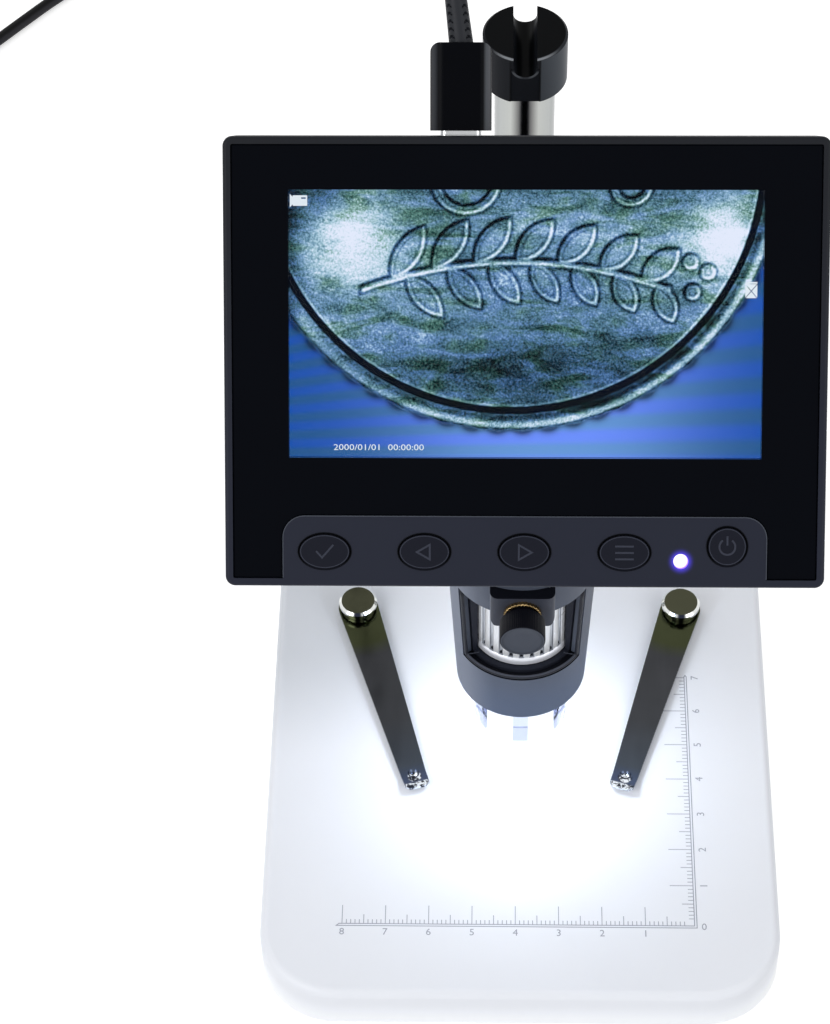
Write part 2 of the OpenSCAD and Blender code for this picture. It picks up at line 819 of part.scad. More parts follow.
module rear_cover() {
    cavity_h = split_w - inner_back_w;
    color("black") difference() {
        union() {
            difference() {
                union() {
                    on_head() translate([0, -lcd_up, split_w]) mirror([0, 0, 1])
                        soft_slab(head_w, head_h, split_w - back_w, head_corner_r, rear_edge_r);
                    on_head() translate([0, plinth_v, back_w - plinth_t])
                        plate(plinth_w, plinth_h, plinth_t + head_wall / 2, plinth_r);
                    intersection() {
                        on_axis(neck_z0) cylinder(h = lcd_z - neck_z0, r = neck_r);
                        on_head() translate([-head_w / 2, -head_h, back_w + head_wall / 2 - head_h])
                            cube([head_w, 2 * head_h, head_h]);
                    }
                }
                on_head() translate([0, 0, inner_back_w]) linear_extrude(cavity_h + cut)
                    head_outline(head_wall);
                on_axis(neck_z0 - cut) cylinder(h = lcd_z - neck_z0 + cut, r = neck_bore_r);
            }
            on_head() at_head_screws() translate([0, 0, inner_back_w - fit])
                cylinder(h = head_pillar_w - inner_back_w, r = pillar_r);
            on_head() at_board_screws() translate([0, 0, inner_back_w - fit])
                cylinder(h = board_w0 - inner_back_w + fit, r = pillar_r);
            for (a = [90, 210, 330]) on_axis(neck_z0)
                rotate([0, 0, a]) translate([neck_pillar_ring, 0, 0])
                    cylinder(h = neck_pillar_h, r = neck_pillar_r);
        }
        on_head() at_head_screws() translate([0, 0, back_w - cut])
            cylinder(h = head_depth, r = small_screw_r + fit);
        on_head() at_head_screws() translate([0, 0, back_w - cut])
            cylinder(h = cut + small_head_h + fit, r = small_head_r + 2 * fit);
        on_head() at_board_screws() translate([0, 0, inner_back_w + 0.6])
            cylinder(h = head_depth, r = small_screw_r + fit);
        for (a = [90, 210, 330]) on_axis(neck_z0 - cut)
            rotate([0, 0, a]) translate([neck_pillar_ring, 0, 0])
                cylinder(h = neck_pillar_h, r = small_screw_r + fit);
        on_head() translate([usb_u, head_high, usb_w]) rotate([90, 0, 0])
            linear_extrude(2 * head_wall, center = true)
                rrect(socket_size[0] + 4 * fit, socket_size[2] + 4 * fit, socket_size[2] / 2);
        on_head() translate([card_u, head_high, card_w]) rotate([90, 0, 0])
            linear_extrude(2 * head_wall, center = true) rrect(card_slot[0], card_slot[1], 0.5);
    }
}

card_u = 20;
card_slot = [12, 1.8];
card_body = [14, 14.5, 1.4];
card_w = board_w1 + card_body[2] / 2;

module front_bezel() {
    color("#2a2c31") on_head() difference() {
        union() {
            difference() {
                translate([0, -lcd_up, split_w])
                    soft_slab(head_w, head_h, rim_h - split_w, head_corner_r, front_edge_r);
                translate([0, 0, -glass_t]) linear_extrude(glass_t + rim_h + cut) difference() {
                    head_outline(rim_w);
                    panel_outline(0);
                }
                translate([0, 0, ledge_w - cut]) linear_extrude(ledge_t + 2 * cut)
                    square([lcd_w + 2 * opening_margin, lcd_h + 2 * opening_margin], center = true);
                translate([0, 0, split_w - cut]) linear_extrude(ledge_w - split_w + cut)
                    head_outline(head_wall);
            }
            at_head_screws() translate([0, 0, head_pillar_w])
                cylinder(h = ledge_w - head_pillar_w + fit, r = pillar_r);
            for (p = key_post) translate([p[0], p[1], key_board_w1])
                cylinder(h = ledge_w - key_board_w1 + fit, r = 2);
        }
        at_head_screws() translate([0, 0, head_pillar_w - cut])
            cylinder(h = 6 + cut, r = small_screw_r + fit);
        for (p = key_post) translate([p[0], p[1], key_board_w1 - cut])
            cylinder(h = 3 + cut, r = small_screw_r + fit);
        for (u = key_u) translate([u, key_row_v, split_w])
            linear_extrude(-split_w + cut) oval(key_w + 2 * key_play, key_h + 2 * key_play);
        translate([power_u, power_v, split_w])
            cylinder(h = cut - split_w, r = power_d / 2 + key_play);
        translate([led_u, led_v, split_w]) cylinder(h = cut - split_w, r = led_r + fit);
    }
}

module front_glass() {
    color("#0b0c10") on_head() translate([0, 0, -glass_t]) linear_extrude(glass_t) difference() {
        head_outline(rim_w + glass_fit);
        panel_outline(glass_fit);
    }
}

module module_slab(w0, h, inset) {
    half = lcd_w / 2 + module_margin - inset;
    low = -lcd_h / 2 - module_low + inset;
    high = lcd_h / 2 + module_high - inset;
    on_head() translate([-half, low, w0]) cube([2 * half, high - low, h]);
}

module lcd_panel() {
    color("#35506e") module_slab(module_w0, panel_glass_t, 0.4);
}

module backlight_frame() {
    color("silver") module_slab(frame_w0, backlight_t, 0);
}

module main_board() {
    mid = (board_high + board_low) / 2;
    color("darkgreen") on_head() difference() {
        translate([0, mid, board_w0])
            plate(2 * board_half, board_high - board_low, board_t, board_corner_r);
        at_board_screws() translate([0, 0, board_w0 - cut])
            cylinder(h = board_t + 2 * cut, r = small_screw_r + 2 * fit);
    }
}

// Chips on the front of the main board: [u, v, width, height, thickness]
chips = [
    [0, 0, 14, 14, 1.2], [22, 4, 9, 12, 1], [-20, -6, 8, 6, 1], [-26, 12, 10, 5, 1.4],
    [30, -16, 6, 6, 1.2], [12, -20, 12, 4, 1.6], [-10, -21, 5, 5, 1]
];

module board_parts() {
    color("#202020") on_head() for (c = chips)
        translate([c[0] - c[2] / 2, c[1] - c[3] / 2, board_w1]) cube([c[2], c[3], c[4]]);
}

module battery() {
    color("lightsteelblue") on_head() translate([0, battery_v, inner_back_w])
        plate(battery_size[0], battery_size[1], battery_size[2], 2);
}

module usb_socket() {
    mouth = head_high - 0.4;
    color("silver") on_head() translate([usb_u, mouth, usb_w]) rotate([90, 0, 0]) difference() {
        linear_extrude(socket_size[1]) rrect(socket_size[0], socket_size[2], socket_size[2] / 2 - fit);
        translate([0, 0, -cut]) linear_extrude(usb_shell_in + cut)
            rrect(usb_shell[0] + 2 * fit, usb_shell[1] + 2 * fit, usb_shell[1] / 2);
    }
}

module card_socket() {
    color("silver") on_head()
        translate([card_u - card_body[0] / 2, board_high - card_body[1] + 0.3, board_w1])
            difference() {
                cube(card_body);
                translate([1.2, 1.5, 0.35]) cube([card_body[0] - 2.4, card_body[1], 0.8]);
            }
}

// Flat cable from the foot of the screen module, back and up to the main board
module lcd_ribbon() {
    t = ribbon_t;
    low = -lcd_h / 2 - module_low;
    foot = board_w1 + 0.8;
    color("#c98a2b") on_head() rotate([90, 0, 90]) linear_extrude(lcd_ribbon_w, center = true) polygon([
        [low + 1, frame_w0], [low - 1 - t, frame_w0], [low - 1 - t, foot],
        [board_low + 2, foot], [board_low + 2, board_w1], [board_low + 6, board_w1],
        [board_low + 6, foot + t], [low - 1, foot + t], [low - 1, frame_w0 - t],
        [low + 1, frame_w0 - t]
    ]);
}

module key_board() {
    color("darkgreen") on_head() difference() {
        translate([0, key_board_v, key_board_w1 - board_t])
            plate(2 * key_board_half, key_board_h, board_t, 1);
        for (p = key_post) translate([p[0], p[1], key_board_w1 - board_t - cut])
            cylinder(h = board_t + 2 * cut, r = small_screw_r + 2 * fit);
    }
}

module one_switch() {
    translate([-switch_size[0] / 2, -switch_size[1] / 2, 0])
        cube([switch_size[0], switch_size[1], switch_h]);
    cylinder(h = switch_h + plunger_h, r = plunger_r);
}

module key_switches() {
    color("gray") on_head() translate([0, 0, key_board_w1]) {
        for (u = key_u) translate([u, key_row_v, 0]) one_switch();
        translate([power_u, power_v, 0]) one_switch();
    }
}

module status_led() {
    color("lightblue") on_head() translate([led_u, led_v, key_board_w1])
        cylinder(h = rim_h - key_board_w1, r = led_r);
}

// Key cap with a flange behind the panel
module key_body() {
    translate([0, 0, key_stem_w]) linear_extrude(rim_h + key_proud - key_stem_w) children();
}

module oval_key(u) {
    flange_h = key_flange_t;
    color("#1e2028") on_head() translate([u, key_row_v, 0]) {
        key_body() oval(key_w, key_h);
        translate([0, 0, key_stem_w]) linear_extrude(flange_h)
            oval(key_w + 2 * key_flange, key_h + 2 * key_flange);
    }
}

module key_confirm() {
    oval_key(key_u[0]);
}

module key_left() {
    oval_key(key_u[1]);
}

module key_right() {
    oval_key(key_u[2]);
}

module key_menu() {
    oval_key(key_u[3]);
}

module key_power() {
    color("#1e2028") on_head() translate([power_u, power_v, 0]) {
        key_body() circle(power_d / 2);
        translate([0, 0, key_stem_w]) cylinder(h = key_flange_t, r = power_d / 2 + key_flange);
    }
}

module head_screws() {
    color("silver") on_head() at_head_screws() translate([0, 0, back_w + small_head_h])
        screw(small_screw_r, head_pillar_w - back_w + 4, small_head_r, small_head_h);
}

module board_screws() {
    color("silver") on_head() {
        at_board_screws() translate([0, 0, board_w1]) mirror([0, 0, 1])
            screw(small_screw_r, board_w1 - inner_back_w - 1, small_head_r, small_head_h);
        for (p = key_post) translate([p[0], p[1], key_board_w1 - board_t])
            screw(small_screw_r, board_t + 2.5, small_head_r, small_head_h);
    }
}

// ---------- barrel and optics ----------

module barrel() {
    wheel_low = wheel_z0 - wheel_play;
    wheel_high = wheel_z0 + wheel_len + wheel_play;
    color("#15161a") difference() {
        on_axis(0) rotate_extrude() polygon([
            [lower_bore_r, barrel_z0], [barrel_r(barrel_z0), barrel_z0],
            [barrel_r(sleeve_z1), sleeve_z1], [sleeve_r1, sleeve_z1], [sleeve_r1, neck_z0],
            [cable_hole_r, neck_z0], [cable_hole_r, sleeve_z1], [head_room_r, sleeve_z1],
            [head_room_r, sleeve_z1 - head_room_h], [upper_bore_r, sleeve_z1 - head_room_h],
            [upper_bore_r, wheel_high + shelf_t], [shelf_r, wheel_high + shelf_t],
            [shelf_r, wheel_high], [wheel_bore_r, wheel_high], [wheel_bore_r, wheel_low],
            [shelf_r, wheel_low], [shelf_r, wheel_low - shelf_t],
            [lower_bore_r, wheel_low - shelf_t]
        ]);
        on_axis(window_z0 + barrel_ledge) front_wedge(barrel_window_half, sleeve_r1, window_h - barrel_ledge);
        for (a = [90, 210, 330]) on_axis(sleeve_z1 - cut)
            rotate([0, 0, a]) translate([neck_pillar_ring, 0, 0])
                cylinder(h = neck_z0 - sleeve_z1 + 2 * cut, r = small_screw_r + 2 * fit);
    }
}

module barrel_screws() {
    color("silver") for (a = [90, 210, 330]) on_axis(sleeve_z1)
        rotate([0, 0, a]) translate([neck_pillar_ring, 0, 0])
            screw(small_screw_r, neck_pillar_h, barrel_head_r, small_head_h);
}

module focus_wheel() {
    n = wheel_ribs;
    color("lightgray") on_axis(wheel_z0) difference() {
        union() {
            linear_extrude(wheel_len) polygon([for (i = [0:2 * n - 1])
                (wheel_r - rib_depth * (i % 2)) * [cos(180 * i / n), sin(180 * i / n)]]);
            cylinder(h = wheel_rim_h, r = wheel_r + wheel_rim_out);
        }
        translate([0, 0, -cut]) cylinder(h = wheel_len + 2 * cut, r = lens_tube_r + fit);
    }
}

module lens_tube() {
    z0 = lens_nose_z;
    z1 = lens_top_z;
    seat = 0.5;
    color("#1a1a1a") on_axis(0) rotate_extrude() polygon([
        [front_lens_r, z0], [nose_r, z0], [nose_r, lens_step_z], [lens_tube_r, lens_step_z],
        [lens_tube_r, z1], [rear_lens_r, z1], [rear_lens_r, z1 - rear_lens_h - seat],
        [lens_bore_r, z1 - rear_lens_h - seat], [lens_bore_r, z0 + front_lens_h + seat],
        [front_lens_r, z0 + front_lens_h + seat]
    ]);
}

// Lens with two domed faces
module lens(r, h) {
    dome = 2.5 * r;
    sag = dome - sqrt(dome * dome - r * r);
    intersection() {
        cylinder(h = h, r = r - fit);
        translate([0, 0, h - dome + sag / 4]) sphere(dome);
        translate([0, 0, dome - sag / 4]) sphere(dome);
    }
}

module lenses() {
    color("lightcyan") {
        on_axis(lens_nose_z + 0.3) lens(front_lens_r, front_lens_h);
        on_axis(lens_top_z - rear_lens_h - 0.3) lens(rear_lens_r, rear_lens_h);
    }
}

module sensor_board() {
    color("darkgreen") on_axis(sensor_z) cylinder(h = board_t, r = sensor_board_r);
    color("#303030") on_axis(sensor_z - sensor_chip[2])
        translate([-sensor_chip[0] / 2, -sensor_chip[1] / 2, 0]) cube(sensor_chip);
}

module sensor_ribbon() {
    color("#c98a2b") intersection() {
        on_axis(sensor_z + board_t) translate([-sensor_ribbon_w / 2, -ribbon_t / 2, 0])
            cube([sensor_ribbon_w, ribbon_t, lcd_z - sensor_z]);
        on_head() translate([-head_w / 2, -head_h, board_w0 - 2 * head_h])
            cube([head_w, 2 * head_h, 2 * head_h]);
    }
}

module led_board() {
    color("white") on_axis(led_board_z) ring(led_board_r, nose_hole_r, led_board_t);
}

module leds() {
    color("lightyellow") on_axis(led_board_z - led_body_h) for (i = [0:led_count - 1])
        rotate([0, 0, 360 * (i + 0.5) / led_count]) translate([led_ring_r, 0, 0])
            cylinder(h = led_body_h, r = led_body_r);
}

module clear_hood() {
    spigot_r = lower_bore_r - fit;
    top = barrel_z0;
    in_low = hood_r - hood_wall;
    in_top = hood_top_r - hood_wall;
    in_spigot = spigot_r - hood_wall;
    rib_z = top - hood_rib_len;
    rib_out = hood_top_r - (hood_top_r - hood_r) * hood_rib_len / hood_len - hood_wall / 4;
    color("aliceblue", 0.4) on_axis(0) {
        rotate_extrude() polygon([
            [in_low, hood_z0], [hood_r, hood_z0], [hood_top_r, top], [spigot_r, top],
            [spigot_r, top + spigot_h], [in_spigot, top + spigot_h],
            [in_spigot, top - hood_wall], [in_top, top - hood_wall]
        ]);
        for (i = [0:hood_ribs - 1]) rotate([0, 0, 360 * i / hood_ribs])
            translate([-hood_rib_w / 2, -rib_out, rib_z])
                cube([hood_rib_w, rib_out - in_low - fit, hood_rib_len - hood_wall / 2]);
    }
}

// ---------- cable ----------

module usb_plug_shell() {
    color("silver") on_head() translate([usb_u, plug_v0, usb_w]) rotate([90, 0, 0])
        difference() {
            linear_extrude(plug_gap + usb_shell_in - 0.6)
                rrect(usb_shell[0], usb_shell[1], usb_shell[1] / 2 - fit);
            translate([0, 0, plug_gap + usb_shell_in - 4.6]) linear_extrude(4 + cut)
                rrect(usb_shell[0] - 0.8, usb_shell[1] - 0.8, usb_shell[1] / 2 - 0.5);
        }
}

module usb_plug_body() {
    v_mid = (plug_v0 + plug_v1) / 2;
    color("black") on_head() intersection() {
        translate([usb_u, plug_v1, usb_w]) rotate([90, 0, 0]) linear_extrude(plug_size[1])
            rrect(plug_size[0], plug_size[2], plug_side_r);
        translate([usb_u, v_mid, usb_w - plug_size[2]]) linear_extrude(2 * plug_size[2]) {
            translate([0, -plug_top_r / 2])
                square([plug_size[0], plug_size[1] - plug_top_r], center = true);
            rrect(plug_size[0], plug_size[1], plug_top_r);
        }
    }
}

module strain_relief() {
    color("black") on_head() translate([usb_u, plug_v1, usb_w])
        rotate([0, 0, relief_lean]) rotate([-90, 0, 0]) difference() {
            translate([0, 0, -1]) cylinder(h = relief_len + 1, r1 = relief_r0, r2 = relief_r1);
            rotate([0, relief_lean, 0]) translate([-5, -5, -5]) cube([10, 10, 5]);
        }
}

// Smooth curve through the route: point at step t of the stretch from p1 to p2
function curve(p0, p1, p2, p3, t) = 0.5 * (2 * p1 + (p2 - p0) * t
    + (2 * p0 - 5 * p1 + 4 * p2 - p3) * t * t + (3 * p1 - p0 - 3 * p2 + p3) * t * t * t);
function near(i) = route[min(max(i, 0), len(route) - 1)];
function steps(i) = max(1, round(norm(route[i + 1] - route[i]) / (2.4 * cord_d)));
function on_table(p) = [p[0], p[1], max(p[2], cord_r)];
cord_line = concat([for (i = [0:len(route) - 2]) for (k = [0:steps(i) - 1])
    on_table(curve(near(i - 1), near(i), near(i + 1), near(i + 2), k / steps(i)))], [near(len(route))]);
function unit(v) = v / norm(v);
function along(i) = unit(cord_line[min(i + 1, len(cord_line) - 1)] - cord_line[max(i - 1, 0)]);
cord_sides = 8;

module cord_run() {
    n = len(cord_line);
    s = cord_sides;
    points = [for (i = [0:n - 1]) let (d = along(i), a = unit(cross(d, [0, 0, 1])), b = cross(a, d))
        for (k = [0:s - 1]) cord_line[i] + cord_r * (cos(360 * k / s) * a + sin(360 * k / s) * b)];
    sides = [for (i = [0:n - 2]) for (k = [0:s - 1])
        [i * s + k, i * s + (k + 1) % s, (i + 1) * s + (k + 1) % s, (i + 1) * s + k]];
    color("black") polyhedron(points, concat(
        [[for (k = [s - 1:-1:0]) k]], sides, [[for (k = [0:s - 1]) (n - 1) * s + k]]));
}

module at_coil() {
    translate([coil_at[0], coil_at[1], 0]) children();
}

module coil_section() {
    translate([coil_r, cord_d]) rrect(2 * cord_d, 2 * cord_d, cord_r - fit);
}

module tie_space(grow) {
    at_coil() rotate([0, 0, tie_angle]) translate([coil_r, 0, cord_d])
        cube([2 * cord_d - 2 * tie_t + grow, tie_w, 2 * cord_d - 2 * tie_t + grow], center = true);
}

module tie_block() {
    at_coil() rotate([0, 0, tie_angle]) translate([coil_r - cord_d - tie_t, -tie_w / 2, 0])
        cube([2 * cord_d + 2 * tie_t, tie_w, 2 * cord_d + tie_t]);
}

module cord_coil() {
    color("black") {
        difference() {
            at_coil() rotate_extrude() coil_section();
            tie_block();
        }
        intersection() {
            at_coil() rotate_extrude() coil_section();
            tie_space(0);
        }
        at_far_plug() translate([0, 0, -tail_len]) cylinder(h = tail_len, r = cord_r);
    }
}

module coil_tie() {
    color("dimgray") difference() {
        tie_block();
        tie_space(2 * fit);
    }
}

// Far plug: z runs out of its mouth, zero where the cable enters it
module at_far_plug() {
    at_coil() rotate([0, 0, coil_in_angle])
        translate([coil_run_r, -tail_len, a_body[2] / 2]) rotate([90, 0, 0]) children();
}

module usb_a_body() {
    color("black") at_far_plug()
        linear_extrude(a_body[1]) rrect(a_body[0], a_body[2], a_body_r);
}

module usb_a_shell() {
    color("silver") at_far_plug() translate([0, 0, a_body[1]]) difference() {
        linear_extrude(a_shell[1]) rrect(a_shell[0], a_shell[2], 0.3);
        translate([0, 0, 3]) linear_extrude(a_shell[1])
            rrect(a_shell[0] - 0.7, a_shell[2] - 0.7, 0.2);
    }
}

base_shell();
base_plate();
rubber_feet();
base_screws();
post();
post_plug();
post_bolt();
post_cap();
clip_left();
clip_right();
clip_studs();
clip_spacers();
clip_nuts();
holder();
front_insert();
rear_insert();
front_screw_rod();
front_screw_knob();
rear_screw_rod();
rear_screw_knob();
rear_cover();
front_bezel();
front_glass();
lcd_panel();
backlight_frame();
main_board();
board_parts();
battery();
usb_socket();
card_socket();
lcd_ribbon();
key_board();
key_switches();
status_led();
key_confirm();
key_left();
key_right();
key_menu();
key_power();
head_screws();
board_screws();
barrel();
barrel_screws();
focus_wheel();
lens_tube();
lenses();
sensor_board();
sensor_ribbon();
led_board();
leds();
clear_hood();
usb_plug_shell();
usb_plug_body();
strain_relief();
cord_run();
cord_coil();
coil_tie();
usb_a_body();
usb_a_shell();
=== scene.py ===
"""Looks of the screen microscope on its post stand.

The CAD solids give every shape that moves or carries load. This script gives them their finishes and adds what is
print, light, thin trim or bends: the cable and its strain relief, the screen's picture and signs, the cover glass,
the rims and signs of the keys, the edge of their panel, the printed scale, the fluted knobs, the brass inserts, the
ribbed focus wheel, the lip of the finger window and the lower ends of the hood's ribs. The studio comes last.

Metres, +Z up, the user stands on the -Y side. Places and sizes are typed in millimetres, and MM makes them metres.
"""

import json
import math

import bmesh
import bpy
import numpy as np
from mathutils import Matrix, Vector
from mathutils.geometry import tessellate_polygon


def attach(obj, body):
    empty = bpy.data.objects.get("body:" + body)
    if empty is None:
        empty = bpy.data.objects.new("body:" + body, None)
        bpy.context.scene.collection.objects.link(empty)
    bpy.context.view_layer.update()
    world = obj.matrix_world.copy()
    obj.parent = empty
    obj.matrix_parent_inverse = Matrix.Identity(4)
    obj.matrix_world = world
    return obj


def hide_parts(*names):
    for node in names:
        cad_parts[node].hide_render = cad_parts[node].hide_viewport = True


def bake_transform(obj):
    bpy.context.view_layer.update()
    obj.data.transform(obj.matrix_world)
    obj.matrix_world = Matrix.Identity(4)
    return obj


bpy.context.scene.view_settings.view_transform = "Standard"
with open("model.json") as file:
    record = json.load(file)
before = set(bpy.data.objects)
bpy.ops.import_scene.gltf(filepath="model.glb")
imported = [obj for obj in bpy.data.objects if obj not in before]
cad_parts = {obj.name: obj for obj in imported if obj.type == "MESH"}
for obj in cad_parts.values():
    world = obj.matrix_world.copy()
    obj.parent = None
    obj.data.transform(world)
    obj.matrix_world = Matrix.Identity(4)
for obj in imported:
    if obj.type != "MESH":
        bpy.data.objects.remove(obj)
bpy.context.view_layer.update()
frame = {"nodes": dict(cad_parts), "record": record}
nodes = frame["nodes"]
MM = 0.001
AXIS = np.array((0.0, -16.0, 0.0))    # the optical axis, round which hood, wheel, barrel and sleeve stand


def in_scene(name, data):
    """New object of some data, put in the scene."""
    made = bpy.data.objects.new(name, data)
    bpy.context.scene.collection.objects.link(made)
    return made


# ---------------------------------------------------------------- camera

EYE = Vector((-5.3, -442.0, 625.2)) * MM
PITCH, YAW, ROLL = (math.radians(a) for a in (50.51, 2.42, 1.64))
FOCAL_PIXELS = 3098.1
IMAGE_HEIGHT = 1024


def camera_at(eye, pitch, yaw, roll, focal_pixels):
    """Camera that looks down by pitch, to the left by yaw, and is turned about its own line of sight by roll."""
    forward = Vector((-math.sin(yaw) * math.cos(pitch), math.cos(yaw) * math.cos(pitch), -math.sin(pitch)))
    level = Vector((math.cos(yaw), math.sin(yaw), 0))
    down = forward.cross(level)
    right = math.cos(roll) * level + math.sin(roll) * down
    down = math.cos(roll) * down - math.sin(roll) * level
    data = bpy.data.cameras.new("camera")
    data.sensor_width = 36
    data.lens = focal_pixels * data.sensor_width / IMAGE_HEIGHT
    data.clip_end = 10
    camera = in_scene("camera", data)
    camera.matrix_world = Matrix(
        [(right[i], -down[i], -forward[i], eye[i]) for i in range(3)] + [(0, 0, 0, 1)]
    )
    bpy.context.scene.camera = camera


camera_at(EYE, PITCH, YAW, ROLL, FOCAL_PIXELS)


# ---------------------------------------------------------------- mesh helpers

WELD = 1e-6                # metres within which points are made one
SHARPEST = 0.3             # least length squared that a mitre is worked out with, which keeps sharp corners short
BAR_ACROSS = np.array((-0.5, -0.5, -0.3, 0.3, 0.5, 0.5))    # profile of a bar, over its width
BAR_UP = np.array((0, 0.6, 1, 1, 0.6, 0))                   # and over its height
CAPITAL_SHARE = 0.7        # height of a numeral over the size of the typeface


def smooth_step(v):
    """Zero below zero, one above one, with a smooth rise between."""
    v = np.clip(v, 0, 1)
    return v * v * (3 - 2 * v)


def unit(rows):
    """Each row of an array brought to length one."""
    return rows / np.linalg.norm(rows, axis=-1, keepdims=True)


def mesh_piece(name, points, faces):
    """Object of that name from an array of points and a list of faces, shaded smooth."""
    mesh = bpy.data.meshes.new(name)
    mesh.from_pydata(np.asarray(points, float).tolist(), [], [list(map(int, f)) for f in faces])
    mesh.polygons.foreach_set("use_smooth", [True] * len(mesh.polygons))
    mesh.update()
    return in_scene(name, mesh)


def grid_faces(rows, columns, wrap_rows=False, wrap_columns=False):
    """Quads of a grid of points stored row by row: each joins a point to its neighbours along both directions."""
    i, j = np.meshgrid(
        np.arange(rows if wrap_rows else rows - 1), np.arange(columns if wrap_columns else columns - 1), indexing="ij"
    )
    i, j = i.ravel(), j.ravel()
    k, m = (i + 1) % rows, (j + 1) % columns
    return np.stack([i * columns + j, i * columns + m, k * columns + m, k * columns + j], 1).tolist()


def turn_outwards(piece, weld=0.0):
    """Gives a closed mesh faces that all point outwards, after points within weld of each other are made one."""
    work = bmesh.new()
    work.from_mesh(piece.data)
    if weld:
        bmesh.ops.remove_doubles(work, verts=work.verts, dist=weld)
    bmesh.ops.recalc_face_normals(work, faces=work.faces)
    work.to_mesh(piece.data)
    work.free()
    return piece


def finished(name, parts, crease=32):
    """Object from several (points, faces): closed seams and poles, faces turned outwards, edges sharper than the
    crease angle kept sharp."""
    points, faces, first = [], [], 0
    for part_points, part_faces in parts:
        points.append(np.asarray(part_points, float).reshape(-1, 3))
        faces += [[first + k for k in face] for face in part_faces]
        first += len(points[-1])
    piece = turn_outwards(mesh_piece(name, np.vstack(points), faces), WELD)
    piece.data.set_sharp_from_angle(angle=math.radians(crease))
    return piece


def path_frames(line):
    """Unit side and up at each point of a line, square to it; the side is carried along so that it never spins."""
    tangent = unit(np.gradient(line, axis=0))
    side = np.empty_like(line)
    side[0] = unit(np.cross(tangent[0], (0, 0, 1.0)))
    for k in range(1, len(line)):
        side[k] = unit(side[k - 1] - tangent[k] * (side[k - 1] @ tangent[k]))
    return side, np.cross(side, tangent)


def tube(name, line, radius, sides):
    """Tube round a line: point (i, j) is line i plus the radius times the circle direction j, with two flat ends."""
    side, up = path_frames(line)
    angle = np.arange(sides) * 2 * math.pi / sides
    ring = np.cos(angle)[None, :, None] * side[:, None] + np.sin(angle)[None, :, None] * up[:, None]
    last = (len(line) - 1) * sides
    faces = grid_faces(len(line), sides, wrap_columns=True)
    faces += [list(range(sides))[::-1], [last + k for k in range(sides)]]
    return turn_outwards(mesh_piece(name, (line[:, None] + radius * ring).reshape(-1, 3), faces))


def turned(radius, height, origin, out, start, loop=False):
    """Turned shape: point (i, j) stands radius (i, j) from the axis, in direction j round it, height i along it.

    A profile that isn't a loop begins and ends on the axis, where its points meet in a pole."""
    rows, columns = radius.shape
    out, start = np.asarray(out, float), np.asarray(start, float)
    angle = (np.arange(columns) * 2 * math.pi / columns)[None, :, None]
    way = np.cos(angle) * start + np.sin(angle) * np.cross(out, start)
    points = np.asarray(origin) + radius[..., None] * way + np.asarray(height)[:, None, None] * out
    return points, grid_faces(rows, columns, wrap_rows=loop, wrap_columns=True)


def mitres(line, closed=True):
    """Way to the left at each point of a flat line, along the mitre of the two stretches that meet there, and so
    long that a line through the ends of all of them lies one away from the first."""
    step = np.roll(line, -1, 0) - line
    if not closed:
        step[-1] = step[-2]
    step = unit(step)
    before = np.roll(step, 1, 0)
    if not closed:
        before[0] = step[0]
    square = (step + before)[:, ::-1] * (-1, 1)
    return 2 * square / np.maximum((square**2).sum(1), SHARPEST)[:, None]


def inset(line, by):
    """Closed outline drawn in by a distance to its left."""
    line = np.asarray(line, float)
    return line + by * mitres(line)


def bar(line, width, low, high, closed=False):
    """Bar along a flat line, rounded along its top: six points across it, from the low height to the high one, set
    along the mitre at each point."""
    line = np.asarray(line, float)
    flat = line[:, None] + (BAR_ACROSS * width)[None, :, None] * mitres(line, closed)[:, None]
    up = np.broadcast_to((low + (high - low) * BAR_UP)[None, :, None], (len(line), 6, 1))
    faces = grid_faces(len(line), 6, wrap_rows=closed, wrap_columns=True)
    if not closed:
        last = 6 * (len(line) - 1)
        faces += [list(range(6)), [last + k for k in range(6)]]
    return np.concatenate([flat, up], 2).reshape(-1, 3), faces


def prism(outline, low, high):
    """Flat plate of an outline between two heights."""
    outline = np.asarray(outline, float)
    count = len(outline)
    points = np.vstack([np.column_stack([outline, np.full(count, z)]) for z in (low, high)])
    sides = [[k, (k + 1) % count, count + (k + 1) % count, count + k] for k in range(count)]
    return points, sides + [list(range(count))[::-1], list(range(count, 2 * count))]


def ring_line(middle, radius, start=0, end=360, steps=24):
    """Points along an arc round a middle, from one angle in degrees to another."""
    a = np.radians(np.linspace(start, end, steps, endpoint=end - start < 360))
    return np.asarray(middle) + radius * np.stack([np.cos(a), np.sin(a)], 1)


def number_shape(body, tall, thick):
    """Points and faces of a number in the plain typeface, standing up from zero, centred on its own middle."""
    curve = bpy.data.curves.new("number", "FONT")
    curve.body, curve.size, curve.extrude = body, tall / CAPITAL_SHARE, thick / 2
    curve.resolution_u = 3
    holder = in_scene("number", curve)
    flat = holder.evaluated_get(bpy.context.evaluated_depsgraph_get()).to_mesh()
    points = np.empty(3 * len(flat.vertices))
    flat.vertices.foreach_get("co", points)
    points = points.reshape(-1, 3)
    faces = [list(face.vertices) for face in flat.polygons]
    bpy.data.objects.remove(holder)
    bpy.data.curves.remove(curve)
    points -= (points.min(0) + points.max(0)) / 2
    points[:, 2] += thick / 2
    return points, faces


def quarter_turn(shape):
    """The same points and faces, turned in the plane by a quarter turn to the left."""
    points, faces = shape
    return points[:, (1, 0, 2)] * (-1, 1, 1), faces


def moved(shape, across, up):
    """The same points and faces, moved in the plane."""
    return shape[0] + (across, up, 0.0), shape[1]


# ---------------------------------------------------------------- the screen head's own directions

